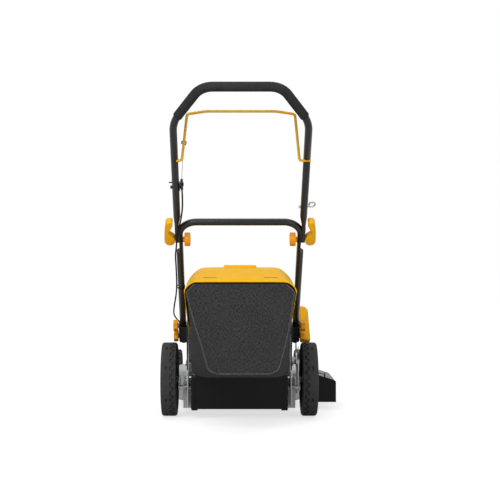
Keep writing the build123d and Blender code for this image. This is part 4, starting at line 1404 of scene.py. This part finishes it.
@dataclass
class Tyre:
    """A tyre with a notched tread."""

    radius: float
    width: float
    bead: float
    notches: int
    lanes: tuple[float, float, float] = (0.14, 0.42, 0.75)
    notch_depth: float = 5.0
    notch_wall: float = 0.6
    lone_step: int = 6

    def build(self, name: str, body: str, side: Side) -> None:
        """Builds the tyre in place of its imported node.

        Args:
            name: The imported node.
            body: The wheel it belongs to.
            side: The side of the mower that the wheel is on.
        """
        low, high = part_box(name)
        middle = (low + high) / 2
        half = self.width / 2
        inner, outer, _ = self.lanes
        left = [
            (-half + 5, self.bead), (-half + 1, self.bead + 4), (-half, self.bead + 10),
            (-half, self.radius - 15), (-half + 0.9, self.radius - 6),
            (-half + 3.5, self.radius - 1.6), (-half + 8, self.radius - 0.2),
            (-half * outer, self.radius), (-half * inner, self.radius),
        ]
        profile = left + [(-x, r) for x, r in reversed(left)]
        tyre = Workpiece()
        bm = tyre.bm
        verts = [bm.verts.new((x * MM, 0, r * MM)) for x, r in profile]
        edges = [bm.edges.new(pair) for pair in zip(verts, [*verts[1:], verts[0]])]
        bmesh.ops.spin(
            bm,
            geom=[*verts, *edges],
            cent=(0, 0, 0),
            axis=(1, 0, 0),
            angle=math.tau,
            steps=2 * self.notches,
            use_merge=True,
            use_duplicate=False,
        )
        bmesh.ops.remove_doubles(bm, verts=bm.verts, dist=0.00001)
        bmesh.ops.recalc_face_normals(bm, faces=bm.faces)
        self._notch(bm, -side.value)
        tyre.place(Matrix.Translation(middle))
        tyre.finish(f"{name}_treaded", TREAD, body, [name], sharp=28.0, outwards=False)

    def _notch(self, bm: bmesh.types.BMesh, inner: int) -> None:
        """Sinks a zig-zag of notches into the tread, most of it near the mower's middle.

        Args:
            bm: The tyre's mesh.
            inner: Sign of X towards the mower's middle.
        """
        first, second, last = self.lanes
        chosen = []
        for face in bm.faces:
            centre = face.calc_center_median()
            if math.hypot(centre.y, centre.z) / MM < self.radius - 3:
                continue
            step = round(math.atan2(centre.z, centre.y) / math.tau * 2 * self.notches - 0.5)
            lane = inner * centre.x / MM / (self.width / 2)
            zig = first < lane < second and step % 2 == 0
            zag = second < lane < last and step % 2 == 1
            lone = -second < lane < -first and step % self.lone_step == 0
            if zig or zag or lone:
                chosen.append(face)
        bmesh.ops.inset_individual(
            bm, faces=chosen, thickness=self.notch_wall * MM, use_even_offset=True
        )
        for face in chosen:
            sink = face.normal * (-self.notch_depth * MM)
            bmesh.ops.translate(bm, vec=sink, verts=face.verts)


@dataclass
class HeightGrip:
    """The broad grip on the height lever."""

    foot: tuple[float, float] = (68.0, 262.0)
    top: tuple[float, float] = (102.0, 352.0)
    inner_x: float = 211.0
    outer_x: float = 247.5
    half_depth: float = 15.0
    slant: float = 8.0
    crown_round: float = 20.0
    edge_round: float = 6.0

    def build(self) -> None:
        """Builds the grip as a rounded, waisted block along the lever."""
        along = Vector((0, self.top[0] - self.foot[0], self.top[1] - self.foot[1]))
        length = along.length
        grip = Workpiece()
        corners = grip.block(
            (self.inner_x, -self.half_depth, -self.half_depth),
            (self.outer_x, self.half_depth, length + self.half_depth),
        )
        middle_x = (self.inner_x + self.outer_x) / 2
        high = [v for v in corners if v.co.z > length * MM and v.co.x > middle_x * MM]
        bmesh.ops.translate(grip.bm, vec=(-self.slant * MM, 0, 0), verts=high)
        crown = [edge for edge in grip.bm.edges if all(vert in high for vert in edge.verts)]
        grip.soften(self.crown_round, segments=8, angle=20.0, among=crown)
        grip.soften(self.edge_round, segments=5, angle=35.0)
        turn = Matrix.Rotation(-math.atan2(along.y, along.z), 4, "X")
        grip.place(DRAWING.matrix() @ Matrix.Translation(Vector((0, *self.foot)) * MM) @ turn)
        grip.finish("height_grip_moulding", LEVER_PLASTIC, "rear_axle", ["height_grip"])


@dataclass
class DeflectorSpring:
    """The coil spring from the deck to the side deflector."""

    deck_end: Point = (253.0, 156.0, 142.0)
    hood_end: Point = (300.0, 156.0, 126.5)

    def build(self) -> None:
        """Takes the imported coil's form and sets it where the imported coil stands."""
        node = frame["nodes"]["deflector_spring"]
        mesh = node.data.copy()
        mesh.name = "deflector_spring_coil"
        mesh.transform(node.matrix_world)
        mesh.shade_smooth()
        coil = put_in_scene("deflector_spring_coil", mesh)
        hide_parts("deflector_spring")
        DRAWING.at(*self.deck_end)
        DRAWING.at(*self.hood_end)
        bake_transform(coil)
        LOG.info("%s, %d faces, spans chassis and side_deflector", coil.name, len(mesh.polygons))


# Stage


@dataclass(frozen=True)
class Lamp:
    """A square lamp: its place in millimetres, its size in metres and its power in watts."""

    name: str
    place: Point
    size: float
    power: float


@dataclass
class Studio:
    """Floor, light and camera."""

    distance: float = 4080.0
    height: float = 566.0
    offset: float = -30.0
    focal_pixels: float = 1193.0
    principal_x: float = 230.5
    image: float = 500.0
    sensor: float = 36.0
    daylight: float = 0.3
    floor_colour: float = 0.55
    near_glow: float = 0.68
    far_glow: float = 0.85
    fade_from: float = 0.7
    fade_to: float = 3.0
    floor_reach: float = 30.0
    target: Point = (0.0, -200.0, 450.0)
    lamps: tuple[Lamp, ...] = (
        Lamp("key", (-1500.0, -3600.0, 2600.0), 2.4, 105.0),
        Lamp("fill", (2200.0, -3000.0, 1600.0), 2.0, 30.0),
        Lamp("top", (0.0, 0.0, 3600.0), 3.0, 38.0),
    )

    def build(self) -> None:
        """Builds the whole stage."""
        self._floor()
        self._world()
        self._lamps()
        self._camera()
        bpy.context.scene.view_settings.view_transform = "Standard"

    def _seen(self, sheet: NodeSheet) -> bpy.types.NodeSocket:
        """A socket that is 1 for what the eye sees directly, in a reflection or through glass.

        Args:
            sheet: The node tree to place the nodes in.

        Returns:
            The socket.
        """
        path = sheet.add("ShaderNodeLightPath")
        direct = sheet.add(
            "ShaderNodeMath",
            {0: path.outputs["Is Camera Ray"], 1: path.outputs["Is Glossy Ray"]},
            operation="MAXIMUM",
        )
        through = sheet.add(
            "ShaderNodeMath",
            {0: direct.outputs[0], 1: path.outputs["Is Transmission Ray"]},
            operation="MAXIMUM",
        )
        return through.outputs[0]

    def _floor(self) -> None:
        """A pale floor that reaches far past the view."""
        floor = Workpiece()
        bmesh.ops.create_grid(floor.bm, x_segments=1, y_segments=1, size=self.floor_reach)
        mesh = bpy.data.meshes.new("floor")
        floor.bm.to_mesh(mesh)
        floor.bm.free()
        material = bpy.data.materials.new("floor")
        material.use_nodes = True
        sheet = NodeSheet(material.node_tree)
        output = sheet.add("ShaderNodeOutputMaterial")
        place = sheet.add("ShaderNodeTexCoord")
        away = sheet.add("ShaderNodeVectorMath", {0: place.outputs["Object"]}, operation="LENGTH")
        fade = sheet.add(
            "ShaderNodeMapRange",
            {
                "Value": away.outputs["Value"],
                "From Min": self.fade_from,
                "From Max": self.fade_to,
                "To Min": self.near_glow,
                "To Max": self.far_glow,
            },
        )
        glow = sheet.add(
            "ShaderNodeMath",
            {0: self._seen(sheet), 1: fade.outputs["Result"]},
            operation="MULTIPLY",
        )
        shader = sheet.add(
            "ShaderNodeBsdfPrincipled",
            {
                "Base Color": (*[self.floor_colour] * 3, 1.0),
                "Roughness": 0.95,
                "Specular IOR Level": 0.0,
                "Emission Color": (1.0, 1.0, 1.0, 1.0),
                "Emission Strength": glow.outputs[0],
            },
        )
        sheet.tree.links.new(shader.outputs[0], output.inputs["Surface"])
        mesh.materials.append(material)
        put_in_scene("floor", mesh)

    def _world(self) -> None:
        """White for the eye and for reflections, softer as light."""
        world = bpy.data.worlds.new("studio")
        bpy.context.scene.world = world
        world.use_nodes = True
        sheet = NodeSheet(world.node_tree)
        output = sheet.add("ShaderNodeOutputWorld")
        strength = sheet.add(
            "ShaderNodeMapRange",
            {"Value": self._seen(sheet), "To Min": self.daylight, "To Max": 1.0},
        )
        sky = sheet.add(
            "ShaderNodeBackground",
            {"Color": (1.0, 1.0, 1.0, 1.0), "Strength": strength.outputs["Result"]},
        )
        sheet.tree.links.new(sky.outputs[0], output.inputs["Surface"])

    def _lamps(self) -> None:
        """A broad lamp behind the operator's left, a weaker one at the right, one overhead."""
        target = DRAWING.at(*self.target)
        for lamp in self.lamps:
            light = bpy.data.lights.new(lamp.name, "AREA")
            light.shape = "SQUARE"
            light.size = lamp.size
            light.energy = lamp.power
            holder = put_in_scene(lamp.name, light)
            holder.location = DRAWING.at(*lamp.place)
            holder.rotation_mode = "QUATERNION"
            holder.rotation_quaternion = (target - holder.location).to_track_quat("-Z", "Y")

    def _camera(self) -> None:
        """A level camera straight behind the mower."""
        camera = bpy.data.cameras.new("camera")
        camera.sensor_width = self.sensor
        camera.lens = self.sensor * self.focal_pixels / self.image
        camera.shift_x = (self.image / 2 - self.principal_x) / self.image
        camera.clip_end = 100.0
        holder = put_in_scene("camera", camera)
        holder.location = DRAWING.at(self.offset, -self.distance, self.height)
        holder.rotation_euler = (math.pi / 2, 0, 0)
        bpy.context.scene.camera = holder


def main() -> None:
    """Builds the mower's looks and its stage."""
    logging.basicConfig(level=logging.INFO, format="%(name)s: %(message)s")
    nodes = PackedNodes()
    nodes.dress()
    Studio().build()
    FoamGrip().build()
    tyres = {
        "rear": Tyre(radius=125.0, width=54.0, bead=94.0, notches=28),
        "front": Tyre(radius=87.5, width=46.0, bead=64.0, notches=20),
    }
    for side in Side:
        for level, v in (("lower", -16.0), ("upper", 36.0)):
            StarKnob().build(side, level, v)
        FoldClamp().build(side)
        for end, tyre in tyres.items():
            wheel = f"{end}_{side.word}"
            tyre.build(f"{wheel}_tyre", f"{wheel}_wheel", side)
    ControlCable().build()
    BagCloth().build()
    BagCover().build()
    HeightGrip().build()
    DeflectorSpring().build()
    nodes.round_edges()


if __name__ == "__main__":
    main()
